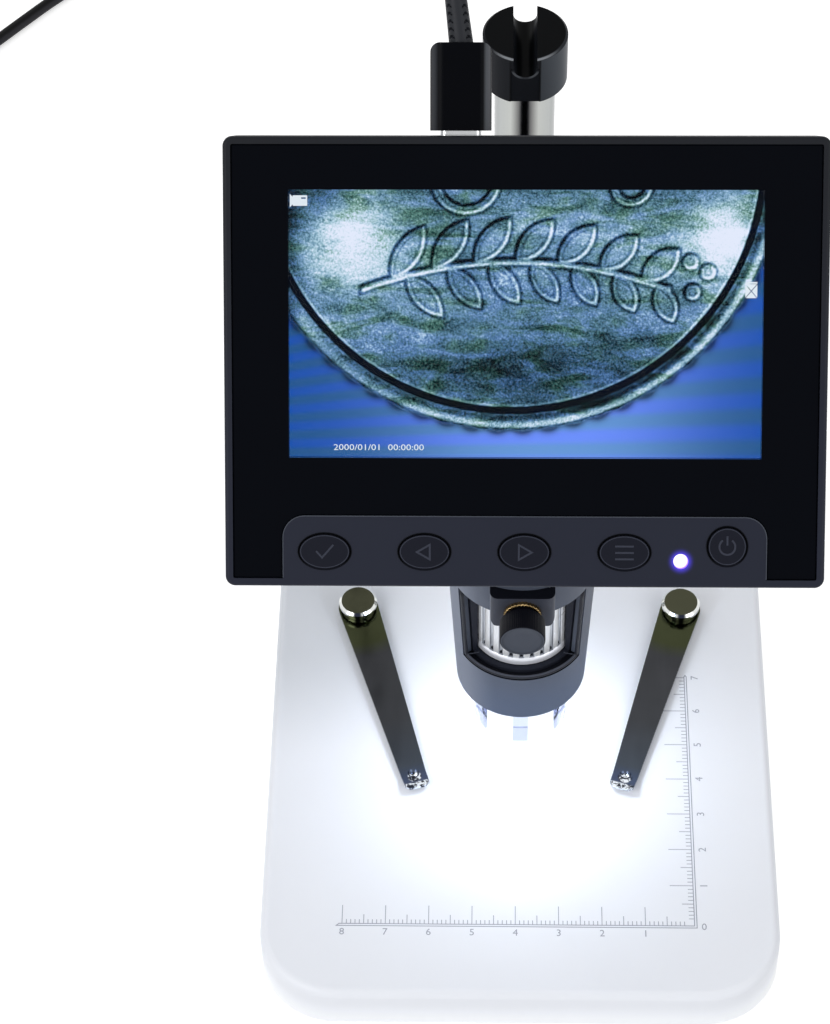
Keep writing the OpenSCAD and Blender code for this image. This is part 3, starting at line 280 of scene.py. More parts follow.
TILT = math.radians(47)
SCREEN = np.array((0, -18.3, 169.7)) * MM
ACROSS = np.array((1.0, 0, 0))
UP_FACE = np.array((0, math.cos(TILT), math.sin(TILT)))
OUT = np.array((0, -math.sin(TILT), math.cos(TILT)))


def on_head(points):
    """Place of points given across, up and out of the screen, from the middle of its lit area."""
    p = np.asarray(points, float)
    return SCREEN + p[..., :1] * ACROSS + p[..., 1:2] * UP_FACE + p[..., 2:3] * OUT


def head_shape(name, parts, out, crease=32):
    """Object on the head from parts given in millimetres across, up and out from the given height."""
    return finished(name, [(on_head((points + (0, 0, out)) * MM), faces) for points, faces in parts], crease)


# ---------------------------------------------------------------- cable

CORD_R = 1.75 * MM
PLUG_X, PLUG_OUT, PLUG_TOP = -13.1 * MM, -6.4 * MM, 56.05 * MM
RELIEF_LENGTH, RELIEF_LEAN = 16 * MM, math.radians(7)
RELIEF_WAY = np.array((-math.sin(RELIEF_LEAN), math.cos(RELIEF_LEAN), 0))
COIL_MIDDLE = np.array((-183, 251.5)) * MM
COIL_R = 18 * MM
COIL_TURNS = 4
COIL_IN = math.radians(-40)
COIL_END = 2.29            # height of the coil's end over the cord's radius
TAIL = 18.3 * MM

relief_foot = on_head((PLUG_X, PLUG_TOP, PLUG_OUT))
relief_way = on_head(RELIEF_WAY) - SCREEN
cord_exit = relief_foot + RELIEF_LENGTH * relief_way
run_onto = COIL_MIDDLE + (COIL_R + CORD_R) * np.array((math.cos(COIL_IN), math.sin(COIL_IN)))
ROUTE = np.vstack([
    [cord_exit, cord_exit + 10 * MM * relief_way],
    MM * np.array([
        (-20, 60, 234), (-26, 84, 239), (-34, 112, 231), (-43, 140, 209), (-52, 168, 175), (-61, 196, 132),
        (-70, 222, 86), (-79, 246, 46), (-89, 266, 18), (-99, 280, 4.5), (-110, 287, 1.75), (-121, 287, 1.75),
        (-131, 281, 1.75), (-140.5, 271.5, 1.75), (-148, 262.7, 1.75), (-155, 254.2, 1.75),
    ]),
    [(*run_onto, CORD_R)],
])


def smooth_line(points, per_stretch):
    """Catmull-Rom curve through the points: a cubic on each stretch whose slope at a point joins its neighbours."""
    p = np.vstack([points[:1], points, points[-1:]])
    t = (np.arange(per_stretch) / per_stretch)[None, :, None]
    a, b, c, d = (p[k:len(p) - 3 + k, None] for k in range(4))
    curve = 0.5 * (2 * b + (c - a) * t + (2 * a - 5 * b + 4 * c - d) * t**2 + (3 * b - a - 3 * c + d) * t**3)
    return np.vstack([curve.reshape(-1, 3), points[-1:]])


def coil_line(per_turn):
    """Clockwise turns about the coil's middle, in a bundle two wide and two high: each turn keeps its radius and
    height and passes to the next over its last seventh by a smooth step."""
    t = np.linspace(0, COIL_TURNS, COIL_TURNS * per_turn + 1)[1:]
    wide = np.array((1, -1, -1, 1, 1)) * CORD_R
    high = np.array((1, 1, 3, 3, COIL_END)) * CORD_R
    turn = np.minimum(t.astype(int), COIL_TURNS - 1)
    s = smooth_step((t - turn - 6 / 7) * 7)
    r = COIL_R + wide[turn] + (wide[turn + 1] - wide[turn]) * s
    z = high[turn] + (high[turn + 1] - high[turn]) * s
    angle = COIL_IN - 2 * math.pi * t
    return np.stack([COIL_MIDDLE[0] + r * np.cos(angle), COIL_MIDDLE[1] + r * np.sin(angle), z], 1)


tail_way = np.array((math.sin(COIL_IN), -math.cos(COIL_IN), 0))
tail_start = np.array((*run_onto, COIL_END * CORD_R))
free_line = smooth_line(ROUTE, 8)
free_line[:, 2] = np.maximum(free_line[:, 2], CORD_R)
cord_line = np.vstack([
    free_line, coil_line(40), tail_start + np.linspace(0.1, 1, 6)[:, None] * TAIL * tail_way
])
cable = tube("cable", cord_line, CORD_R, 14)
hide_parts("cord_run", "cord_coil")
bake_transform(cable)


# ---------------------------------------------------------------- shader helpers

BLACK, WHITE = (0, 0, 0, 1), (1, 1, 1, 1)
LEVEL = (1, 1, 0)          # directions counted in a distance from an upright line


def screen(red, green, blue):
    """Linear colour of three screen values from 0 to 255."""
    parts = [c / 255 for c in (red, green, blue)]
    return tuple(p / 12.92 if p <= 0.04045 else ((p + 0.055) / 1.055) ** 2.4 for p in parts) + (1.0,)


def add(tree, kind, inputs=None, **settings):
    """New shader node with its settings, and each named input given a value or joined to an output."""
    made = tree.nodes.new("ShaderNode" + kind)
    for key, value in settings.items():
        setattr(made, key, value)
    for key, value in (inputs or {}).items():
        if isinstance(value, bpy.types.NodeSocket):
            tree.links.new(value, made.inputs[key])
        else:
            made.inputs[key].default_value = value
    return made


def calc(tree, operation, *values, clamp=False):
    """Output of a math node over values or outputs."""
    return add(tree, "Math", dict(enumerate(values)), operation=operation, use_clamp=clamp).outputs[0]


def product(tree, first, *others):
    """Product of values or outputs."""
    for other in others:
        first = calc(tree, "MULTIPLY", first, other)
    return first


def blend_colours(tree, share, a, b, blend_type="MIX"):
    """Colour a turned into colour b by a share."""
    return add(tree, "Mix", {0: share, 6: a, 7: b}, data_type="RGBA", blend_type=blend_type).outputs[2]


def painted(tree, tone, *coats):
    """Tone with coats laid over it in turn, each given as its share and its colour."""
    for share, colour in coats:
        tone = blend_colours(tree, share, tone, colour)
    return tone


def between(tree, value, low, high, to_low=0.0, to_high=1.0, smooth=True):
    """Value brought from one range to another, held at the ends."""
    kind = "SMOOTHSTEP" if smooth else "LINEAR"
    return add(
        tree, "MapRange", {0: value, 1: low, 2: high, 3: to_low, 4: to_high}, interpolation_type=kind
    ).outputs[0]


def noise(tree, place, scale, detail=2.0, twist=0.0, rough=0.5):
    """Noise at a place in millimetres, scale in waves a millimetre."""
    return add(
        tree, "TexNoise",
        {"Vector": place, "Scale": scale, "Detail": detail, "Distortion": twist, "Roughness": rough},
    ).outputs[0]


def ripple(tree, place, scale, detail, **kind):
    """Noise to both sides of zero."""
    return calc(tree, "SUBTRACT", noise(tree, place, scale, detail, **kind), 0.5)


def stretched(tree, place, by):
    """Place with its three parts multiplied."""
    return add(tree, "VectorMath", {0: place, 1: by}, operation="MULTIPLY").outputs[0]


def place_mm(tree):
    """Place on the piece in millimetres."""
    return stretched(tree, add(tree, "TexCoord").outputs["Object"], (1000, 1000, 1000))


def place_parts(tree):
    """The three parts of the place on the piece, in millimetres."""
    return add(tree, "SeparateXYZ", {0: place_mm(tree)}).outputs


def direction(tree):
    """The three parts of the surface's own direction."""
    return add(tree, "SeparateXYZ", {0: add(tree, "NewGeometry").outputs["Normal"]}).outputs


def distance_mm(tree, middle, flatten=(1, 1, 1), mirror=False):
    """Distance in millimetres from a middle, with directions left out where flatten is zero. With mirror, the left
    half counts as the right one."""
    place = add(tree, "TexCoord").outputs["Object"]
    if mirror:
        part = add(tree, "SeparateXYZ", {0: place}).outputs
        place = add(tree, "CombineXYZ", {0: calc(tree, "ABSOLUTE", part[0]), 1: part[1], 2: part[2]}).outputs[0]
        middle = (abs(middle[0]), middle[1], middle[2])
    middle = tuple(float(m) * MM for m in middle)
    away = add(tree, "VectorMath", {0: place, 1: middle}, operation="SUBTRACT").outputs[0]
    flat = stretched(tree, away, tuple(1000 * f for f in flatten))
    return add(tree, "VectorMath", {0: flat}, operation="LENGTH").outputs["Value"]


def colour_steps(tree, value, steps):
    """Colour ramp through steps, each a place and three screen values."""
    made = add(tree, "ValToRGB", {0: value})
    ramp = made.color_ramp
    while len(ramp.elements) < len(steps):
        ramp.elements.new(0.5)
    for element, (place, *colour) in zip(ramp.elements, steps):
        element.position, element.color = place, screen(*colour)
    return made.outputs[0]


def new_group(name, inputs, outputs):
    """Shader node group with named inputs (name, kind, value) and outputs (name, kind)."""
    tree = bpy.data.node_groups.new(name, "ShaderNodeTree")
    for label, kind, value in inputs:
        tree.interface.new_socket(name=label, in_out="INPUT", socket_type="NodeSocket" + kind).default_value = value
    for label, kind in outputs:
        tree.interface.new_socket(name=label, in_out="OUTPUT", socket_type="NodeSocket" + kind)
    return tree, tree.nodes.new("NodeGroupInput").outputs, tree.nodes.new("NodeGroupOutput").inputs


def feed(tree, sockets, **outputs):
    """Joins outputs to sockets by name, _ standing for a space."""
    for label, output in outputs.items():
        tree.links.new(output, sockets[label.replace("_", " ")])


def use(tree, group, **inputs):
    """Places a group with its inputs and returns its outputs."""
    made = tree.nodes.new("ShaderNodeGroup")
    made.node_tree = group
    for label, value in inputs.items():
        if isinstance(value, bpy.types.NodeSocket):
            tree.links.new(value, made.inputs[label])
        else:
            made.inputs[label].default_value = value
    return made.outputs


# ---------------------------------------------------------------- effects shared by the finishes


def varied(tree, tone, change, by):
    """Tone made lighter and darker by a share, change, of a value to both sides of zero."""
    level = calc(tree, "ADD", product(tree, by, change), 1.0)
    return add(tree, "VectorMath", {0: tone, "Scale": level}, operation="SCALE").outputs[0]


def moulded_group():
    """Moulded plastic or rubber: slow changes of tone, fine grain, and smears in the gloss."""
    tree, given, out = new_group(
        "moulded",
        [("Tone", "Color", (0.5, 0.5, 0.5, 1)), ("Change", "Float", 0.1), ("Grain", "Float", 3.0),
         ("Roughness", "Float", 0.4), ("Smear", "Float", 0.1)],
        [("Tone", "Color"), ("Roughness", "Float"), ("Height", "Float")],
    )
    place = place_mm(tree)
    smear = product(tree, ripple(tree, place, 0.16, 4.0, twist=1.5), given["Smear"])
    feed(
        tree, out, Tone=varied(tree, given["Tone"], given["Change"], ripple(tree, place, 0.07, 3.0)),
        Roughness=calc(tree, "ADD", smear, given["Roughness"]), Height=noise(tree, place, given["Grain"], 2.0))
    return tree


def metal_group():
    """Worked metal: streaks along the directions that Stretch makes short, over slow changes."""
    tree, given, out = new_group(
        "worked metal",
        [("Tone", "Color", (0.5, 0.5, 0.5, 1)), ("Change", "Float", 0.1), ("Stretch", "Vector", (1.0, 1.0, 1.0)),
         ("Roughness", "Float", 0.25), ("Smear", "Float", 0.1)],
        [("Tone", "Color"), ("Roughness", "Float"), ("Height", "Float")],
    )
    place = place_mm(tree)
    streak = ripple(tree, stretched(tree, place, given["Stretch"]), 1.0, 4.0)
    both = calc(tree, "ADD", streak, ripple(tree, place, 0.12, 3.0))
    rough = calc(tree, "ADD", product(tree, both, given["Smear"]), given["Roughness"])
    feed(tree, out, Tone=varied(tree, given["Tone"], given["Change"], both), Roughness=rough, Height=streak)
    return tree


def upper_group():
    """Painted light and shade by the way a face points: one tone on the faces that point up, one on the sides."""
    tree, given, out = new_group(
        "painted light by facing",
        [("Upper", "Color", BLACK), ("Side", "Color", BLACK), ("From", "Float", 0.45), ("To", "Float", 0.85)],
        [("Tone", "Color")],
    )
    share = between(tree, direction(tree)["Z"], given["From"], given["To"])
    feed(tree, out, Tone=blend_colours(tree, share, given["Side"], given["Upper"]))
    return tree


def board_group():
    """Circuit board: lacquer with tracks and pads showing through it."""
    tree, given, out = new_group(
        "circuit board",
        [("Lacquer", "Color", (0.02, 0.1, 0.04, 1)), ("Track", "Color", (0.05, 0.22, 0.1, 1)),
         ("Pad", "Color", (0.6, 0.58, 0.5, 1))],
        [("Tone", "Color"), ("Metal", "Float"), ("Height", "Float")],
    )
    place = place_mm(tree)
    cells = add(
        tree, "TexVoronoi", {"Vector": place, "Scale": 0.45}, feature="F2", distance="MANHATTAN"
    ).outputs["Distance"]
    track = between(tree, calc(tree, "PINGPONG", cells, 0.22), 0.08, 0.12)
    dots = add(tree, "TexVoronoi", {"Vector": place, "Scale": 0.6}, distance="CHEBYCHEV").outputs["Distance"]
    pad = between(tree, dots, 0.16, 0.13)
    tone = painted(tree, given["Lacquer"], (track, given["Track"]), (pad, given["Pad"]))
    feed(tree, out, Tone=tone, Metal=pad, Height=track)
    return tree


MOULDED = moulded_group()
METAL = metal_group()
FACING_PAINT = upper_group()
BOARD = board_group()


# ---------------------------------------------------------------- finishes

SHADE_MIDDLE = (-55, 30, 0)    # middle of the painted shadow that the head casts on the base's top
CAP_MOUTH = (0.0, 49.0, 184.7)
CLIP_STUD = (-40.0, 29.5, 16.0)
CLIP_DIMPLE = (-25.0, -21.3, 15.0)
CLIP_LONG = 57.0           # from the stud's middle to just past the tip
LED_PLACE = np.array((31.6, -47.75, 0.4))
HOOD_HEIGHTS, HOOD_INNER = (33.0, 52.0), (9.6, 11.55)    # the hood's inner radius grows over these heights


def look(name, gloss=0.5, **fixed):
    """Material with a Principled shader whose specular level is gloss; fixed sockets are named with _ for a space."""
    material = bpy.data.materials.new(name)
    material.use_nodes = True
    tree = material.node_tree
    shader = tree.nodes["Principled BSDF"]
    for label, value in dict(fixed, Specular_IOR_Level=gloss).items():
        shader.inputs[label.replace("_", " ")].default_value = value
    return material, tree, shader


def cover(tree, shader, group, tone, rough, depth=0.0, into="Base_Color", **values):
    """Joins a surface group over a tone to the shader; depth is that of its relief in mm. The tone is a colour, an
    output, or a function that gives one for the tree."""
    tone = tone(tree) if callable(tone) else tone
    surface = use(tree, group, Tone=tone, Roughness=rough, **values)
    feed(tree, shader.inputs, Roughness=surface["Roughness"], **{into: surface["Tone"]})
    if depth:
        bump = add(tree, "Bump", {"Height": surface["Height"], "Distance": depth * MM, "Strength": 1.0})
        feed(tree, shader.inputs, Normal=bump.outputs[0])


def upper_tone(tree, side, upper, low=0.45, high=0.85):
    """One tone on the sides and another on faces that point up past the two values: painted light and shade."""
    return use(tree, FACING_PAINT, Side=side, Upper=upper, From=low, To=high)["Tone"]


def moulded(name, tone, rough, upper=None, turn=(), grain=3.0, depth=0.004, change=0.12, smear=0.1, **fixed):
    """Moulded finish. With upper given, faces that point up past the values of turn take it: painted light and shade.
    """
    material, tree, shader = look(name, **fixed)
    if upper is not None:
        tone = upper_tone(tree, tone, upper, *turn)
    cover(tree, shader, MOULDED, tone, rough, depth, Change=change, Grain=grain, Smear=smear)
    return material


def metal(name, tone, rough, stretch, change=0.15, smear=0.15, depth=0.002, metallic=1.0):
    """Worked metal finish; stretch gives the waves a millimetre of its streaks along x, y and z."""
    material, tree, shader = look(name, Metallic=metallic)
    cover(tree, shader, METAL, tone, rough, depth, Change=change, Stretch=stretch, Smear=smear)
    return material


def base_white():
    """White gloss moulding with painted light and shade, such as a pool of light round the optical axis from the ring
    above.
    """
    material, tree, shader = look("base white", 0.25, Emission_Strength=1.0, IOR=1.47)
    # painted shadow of the head on the back left of the top
    shade = between(tree, distance_mm(tree, SHADE_MIDDLE, LEVEL), 48.0, 12.0)
    tone = painted(tree, screen(238, 241, 248), (shade, screen(214, 218, 225)))
    cover(tree, shader, MOULDED, tone, 0.35, 0.001, Change=0.02, Grain=1.5)
    painted_light_pool = between(tree, distance_mm(tree, AXIS, LEVEL), 95.0, 8.0)
    flat = between(tree, direction(tree)["Z"], 0.8, 1.0)
    place = place_parts(tree)
    # painted light, given as emission: low on the walls, on the right of the top, and the pool round the axis
    feed(tree, shader.inputs, Emission_Color=painted(
        tree, BLACK, (between(tree, place["Z"], 10.0, 1.0), (0.13, 0.13, 0.12, 1)),
        (product(tree, between(tree, place["X"], 15.0, 60.0), flat), (0.05, 0.05, 0.05, 1)),
        (product(tree, painted_light_pool, painted_light_pool, flat), (0.08, 0.09, 0.11, 1))))
    return material


def clip_tone(tree):
    """Polished spring steel with painted reflections: dark where it mirrors the room, olive by its stud, bluish
    towards its tip, and broken up into painted glints of bright and dark on the dimple and on the turned-up end."""
    along = distance_mm(tree, CLIP_STUD, LEVEL, mirror=True)
    tone = colour_steps(tree, product(tree, along, 1 / CLIP_LONG), [
        (0.20, 62, 66, 46), (0.27, 62, 63, 66), (0.62, 65, 67, 71), (0.86, 73, 80, 90), (0.93, 72, 84, 110)])
    # painted glints of bright and dark on the dimple and the turned-up end
    broken = between(tree, noise(tree, place_mm(tree), 0.9, 3.0, twist=0.8), 0.44, 0.56)
    painted_glint = painted(tree, screen(44, 50, 64), (broken, screen(236, 242, 250)))
    on_dimple = between(tree, distance_mm(tree, CLIP_DIMPLE, LEVEL, mirror=True), 1.8, 1.4)
    on_end = between(tree, along, 54.6, 55.1)
    return painted(tree, tone, (calc(tree, "MAXIMUM", on_dimple, on_end), painted_glint))


def stud_tone(tree):
    """Turned steel of the clip studs, with painted reflections: a dark polished top, and sides bright left and right
    of a dark middle.
    """
    # painted reflection: bright where the side turns left or right
    aside = between(tree, calc(tree, "ABSOLUTE", direction(tree)["X"]), 0.08, 0.24)
    side = painted(tree, screen(44, 48, 62), (aside, screen(226, 228, 226)))
    return upper_tone(tree, side, screen(72, 73, 58), 0.90, 0.97)


def post_tone(tree):
    """Polished tube with a painted reflection: pale, with a dark stripe down the front where it mirrors the head, soft
    at its two edges.
    """
    return colour_steps(tree, calc(tree, "ABSOLUTE", direction(tree)["X"]), [
        (0.07, 36, 37, 40), (0.12, 74, 74, 76), (0.24, 122, 122, 121), (0.46, 178, 180, 177), (0.80, 172, 175, 174),
        (1.0, 136, 139, 140)])


def cap_tone(tree):
    """Gloss black moulding of the post cap with painted light and shade: painted near black above and in its channel,
    painted shade in its groove and darker shade in the groove's corners, painted light towards the right of its side,
    and painted highlights on the bevel beside the groove and on the lip under the channel's mouth."""
    way, place = direction(tree), place_parts(tree)
    middle = calc(tree, "ABSOLUTE", place["X"])
    # painted shade in the groove's corners
    corner = product(tree, between(tree, middle, 2.85, 3.0), between(tree, middle, 3.45, 3.2), 0.7)
    from_mouth = distance_mm(tree, CAP_MOUTH, (1, 0, 1))
    # painted highlight on the lip under the channel's mouth
    lip = product(
        tree, between(tree, from_mouth, 2.45, 2.6), between(tree, from_mouth, 3.15, 2.95),
        between(tree, way["Y"], -0.8, -0.95), between(tree, place["Z"], 184.3, 183.1),
        between(tree, middle, 0.3, 1.5, 0.35, 1.0))
    # painted light towards the right of the side, painted shade in the groove
    side = painted(
        tree, screen(37, 39, 44), (between(tree, way["X"], -0.5, 0.75), screen(80, 85, 92)),
        (between(tree, middle, 3.3, 3.0), screen(30, 32, 37)), (corner, screen(12, 13, 16)),
        (lip, screen(92, 96, 102)))
    out = distance_mm(tree, CAP_MOUTH, LEVEL)
    # painted highlight on the bevel beside the groove
    bevel = product(
        tree, between(tree, way["Z"], 0.55, 0.66), between(tree, way["Z"], 0.86, 0.76),
        between(tree, out, 8.5, 8.68), between(tree, out, 9.0, 8.85),
        between(tree, way["Y"], -0.30, -0.62), between(tree, middle, 8.0, 3.2, 0.12, 1.0))
    return painted(tree, upper_tone(tree, side, screen(7, 8, 10)), (bevel, screen(150, 154, 160)))


def plug_tone(tree):
    """Gloss black moulding of the plug: a dark face, and rounded long edges with painted highlights, the right more.
    """
    return colour_steps(tree, calc(tree, "MULTIPLY_ADD", direction(tree)["X"], 0.5, 0.5), [
        (0.02, 18, 19, 22), (0.10, 66, 68, 72), (0.20, 52, 54, 58), (0.30, 4, 5, 9), (0.70, 4, 5, 9),
        (0.80, 84, 87, 92), (0.92, 98, 100, 105), (0.98, 22, 23, 27)])


def holder_tone(tree):
    """Charcoal moulding of the holder with painted light and shade: dark faces that point up, a lighter left side, a
    cooler foot painted as lit by the white base, and a front to the screw's boss painted dark as the head's shade."""
    way, place = direction(tree), place_parts(tree)
    # painted light on the foot and the left side, painted shade on the boss's front
    side = painted(
        tree, screen(86, 93, 108), (between(tree, place["Z"], 74.0, 54.0), screen(86, 99, 124)),
        (between(tree, way["X"], -0.35, -0.95), screen(126, 134, 152)),
        (between(tree, place["Y"], -33.7, -34.3), screen(62, 66, 78)))
    return upper_tone(tree, side, screen(18, 20, 28))


def knob_tone(tree):
    """Thumb-screw knob: near-black side and a face painted a lighter grey, as painted light."""
    painted_lit_face = between(tree, calc(tree, "ABSOLUTE", direction(tree)["Y"]), 0.90, 0.97)
    return painted(tree, screen(18, 19, 26), (painted_lit_face, screen(72, 77, 88)))


def wheel_tone(tree):
    """Silvered moulding of the focus wheel: bright ribs, painted shade in dark lines down the sides of its grooves and
    in dark notches where the grooves end over the step, and a bright rim."""
    out, height = distance_mm(tree, AXIS, LEVEL), place_parts(tree)["Z"]
    tone = colour_steps(tree, between(tree, out, 10.9, 11.6, smooth=False), [
        (0.0, 198, 204, 214), (0.24, 222, 227, 235), (0.36, 150, 156, 168), (0.50, 104, 110, 122),
        (0.66, 214, 219, 227), (0.80, 244, 247, 252)])
    # painted shade in the notches where the grooves end over the step
    notch = product(tree, between(tree, out, 11.15, 10.95), between(tree, height, 71.7, 70.9))
    return painted(
        tree, tone, (notch, screen(58, 62, 72)), (between(tree, height, 70.45, 70.30), screen(238, 241, 250)))


def hood_tone(tree):
    """Clear moulding of the hood, tinted a faint blue where its ribs stand inside it."""
    out, height = distance_mm(tree, AXIS, LEVEL), place_parts(tree)["Z"]
    inner = between(tree, height, *HOOD_HEIGHTS, *HOOD_INNER, smooth=False)
    in_rib = between(tree, calc(tree, "SUBTRACT", inner, out), 0.1, 0.3)
    return painted(tree, screen(252, 253, 255), (in_rib, screen(178, 184, 206)))


def glow_body(tree, shader, tone, light):
    """Joins the light of a lamp and the tone of its body, with slight changes, to the shader."""
    body = use(tree, MOULDED, Tone=tone)["Tone"]
    feed(tree, shader.inputs, Emission_Color=light, Base_Color=body)


def status_lamp():
    """Violet status lamp: a white core in a violet body that darkens to its edge."""
    material, tree, shader = look("status lamp", Roughness=0.2, Emission_Strength=1.3)
    away = distance_mm(tree, on_head((LED_PLACE + (-0.15, 0.2, 0.2)) * MM) / MM)
    tone = colour_steps(tree, product(tree, away, 0.5), [
        (0.52, 255, 255, 255), (0.66, 206, 196, 255), (0.78, 150, 110, 255), (0.90, 96, 60, 220)])
    glow_body(tree, shader, tone, tone)
    return material


def head_panel():
    """Charcoal moulding of the head's front with painted light: lighter and bluer towards its foot, and a glow of the
    violet light that the status lamp throws on it.
    """
    material, tree, shader = look("head panel", 0.1, Emission_Strength=1.0)
    # painted light: lighter and bluer towards the foot of the head
    share = between(tree, place_parts(tree)["Z"], 140.0, 196.0)
    tone = painted(tree, screen(35, 38, 50), (share, screen(28, 30, 35)))
    cover(tree, shader, MOULDED, tone, 0.42, 0.003, Change=0.08, Grain=5.0)
    # painted glow of the status lamp on the panel
    painted_lamp_glow = between(tree, distance_mm(tree, on_head(LED_PLACE * MM) / MM), 3.3, 1.3)
    glow = painted(tree, BLACK, (calc(tree, "POWER", painted_lamp_glow, 2.4), screen(74, 58, 215)))
    feed(tree, shader.inputs, Emission_Color=glow)
    return material


def clear(name, tint, rough, ior, gloss=0.5):
    """Clear finish with faint smears in its polish."""
    material, tree, shader = look(name, gloss, Base_Color=tint, Transmission_Weight=1.0, IOR=ior)
    cover(tree, shader, MOULDED, tint, rough, Change=0.02, Smear=rough)
    return material


def lit(name, tone, centre, strength):
    """Lamp: a clear body whose light is strongest at its middle and cooler at its rim."""
    material, tree, shader = look(name, Roughness=0.2, Emission_Strength=strength)
    rim = add(tree, "LayerWeight", {"Blend": 0.35}).outputs["Facing"]
    glow_body(tree, shader, tone, blend_colours(tree, rim, centre, tone))
    return material


def board(name, lacquer, track, pad):
    """Circuit board finish."""
    material, tree, shader = look(name, Roughness=0.35)
    surface = use(tree, BOARD, Lacquer=lacquer, Track=track, Pad=pad)
    bump = add(tree, "Bump", {"Height": surface["Height"], "Distance": 0.03 * MM})
    feed(tree, shader.inputs, Base_Color=surface["Tone"], Metallic=surface["Metal"], Normal=bump.outputs[0])
    return material


def ribbon_amber():
    """Polyimide film with copper tracks under it."""
    material, tree, shader = look("ribbon amber", 0.4, Roughness=0.3)
    track = add(tree, "TexWave", {"Vector": place_mm(tree), "Scale": 0.32}, bands_direction="X").outputs["Fac"]
    tone = painted(tree, screen(150, 84, 22), (between(tree, track, 0.4, 0.6), screen(206, 138, 58)))
    feed(tree, shader.inputs, Base_Color=tone)
    return material


def ink(name, tone, bright=0.0):
    """Thin print: a tone with slight changes in its cover, or light of that tone where it is part of a picture."""
    material, tree, shader = look(name, 0.1, Emission_Strength=bright)
    if bright:
        shader.inputs["Base Color"].default_value = BLACK
    cover(tree, shader, MOULDED, tone, 0.5, into="Emission_Color" if bright else "Base_Color", Change=0.25)
    return material


finishes = {
    "base_white": base_white(),
    "plate_steel": metal("plate steel", screen(150, 152, 156), 0.4, (0.1, 3.0, 1.0)),
    "foot_rubber": moulded("foot rubber", screen(30, 30, 32), 0.75, grain=2.0, depth=0.03),
    "screw_steel": metal("screw steel", screen(176, 178, 182), 0.28, (2.0, 2.0, 0.3)),
    "post_steel": metal("post steel", post_tone, 0.2, (4.0, 4.0, 0.02), change=0.06, smear=0.08, depth=0.0003),
    # faces that point up are painted near black and the sides lighter, in place of light and shade
    "black_gloss": moulded("black gloss", screen(50, 53, 60), 0.3, screen(11, 12, 15), depth=0.001, gloss=0.06),
    "clip_steel": metal("clip steel", clip_tone, 0.14, (0.3, 0.04, 1.0), change=0.35, smear=0.1, depth=0.0006),
    # the cord's upper side is painted dark and its sides lighter, in place of light and shade
    "cord_black": moulded(
        "cord jacket", screen(44, 44, 48), 0.45, screen(10, 11, 12), (0.45, 0.9), grain=1.0, depth=0.01, gloss=0.1),
    "tie_black": moulded("tie rubber", screen(34, 34, 37), 0.6, grain=6.0, depth=0.02),
    "plug_black": moulded("plug black", plug_tone, 0.28, depth=0.001, change=0.1, gloss=0.03),
    "plug_metal": metal("plug metal", screen(196, 198, 200), 0.18, (0.3, 2.0, 0.3)),
    "holder_charcoal": moulded("holder charcoal", holder_tone, 0.42, grain=4.0, depth=0.003, gloss=0.12),
    "insert_brass": metal("insert brass", screen(146, 124, 86), 0.38, (2.5, 2.5, 2.5), change=1.1),
    # faces that point up are painted a little darker, as painted shade
    "black_satin": moulded("black satin", screen(40, 43, 54), 0.4, screen(34, 37, 47), depth=0.003, gloss=0.1),
    "panel_charcoal": head_panel(),
    "screen_glass": clear("screen glass", WHITE, 0.02, 1.12),
    "lcd_picture": moulded(
        "screen module", screen(12, 14, 20), 0.2, change=0.3, grain=8.0, depth=0.001, gloss=0.15),
    "board_green": board("board green", screen(12, 74, 42), screen(26, 112, 66), screen(206, 196, 160)),
    "board_white": board("board white", screen(226, 226, 220), screen(206, 206, 200), screen(200, 190, 160)),
    "chip_black": moulded("chip black", screen(28, 28, 30), 0.5, grain=6.0, depth=0.01),
    "backlight_white": moulded("backlight white", screen(212, 214, 216), 0.5),
    "battery_silver": metal(
        "battery foil", screen(196, 200, 208), 0.35, (0.2, 3.0, 3.0), change=0.2, smear=0.1, metallic=0.9),
    "ribbon_amber": ribbon_amber(),
    "led_clear": lit("lamp white", screen(170, 190, 255), WHITE, 3.0),
    "hood_clear": moulded(
        "hood clear", hood_tone, 0.03, depth=0.0, change=0.02, smear=0.03, gloss=0.3, Transmission_Weight=1.0,
        IOR=1.05),
    "lens_glass": clear("lens glass", screen(236, 246, 250), 0.01, 1.5),
    "wheel_silver": metal("wheel silver", wheel_tone, 0.3, (0.5, 0.5, 0.5), smear=0.1, metallic=0.35),
    "rod_black": moulded("rod black", screen(16, 16, 20), 0.35, gloss=0.2),
    "key_black": moulded("key black", screen(22, 24, 34), 0.36, grain=5.0, depth=0.002, gloss=0.08),
}
for part in frame["record"]["subparts"]:
    for holder_slot in nodes[part["node"]].material_slots:
        holder_slot.material = finishes[part["material_slot"]]
nodes["status_led"].material_slots[0].material = status_lamp()
nodes["post_cap"].material_slots[0].material = moulded(
    "cap black", cap_tone, 0.3, depth=0.001, change=0.1, gloss=0.03)
nodes["clip_studs"].material_slots[0].material = metal(
    "stud steel", stud_tone, 0.14, (0.5, 0.5, 4.0), change=0.1, smear=0.1, depth=0.0006)
nodes["clear_hood"].visible_shadow = False
cable.data.materials.append(finishes["cord_black"])


def dress(piece, body, slot, finish=None, replaced=()):
    """Gives a new piece its finish, which is that of the slot unless one is given, hangs it on the body that it rides
    on, and hides the nodes that it stands for.
    """
    piece.data.materials.append(finish or finishes[slot])
    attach(piece, body)
    if replaced:
        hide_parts(*replaced)
    return piece


# ---------------------------------------------------------------- the screen's picture

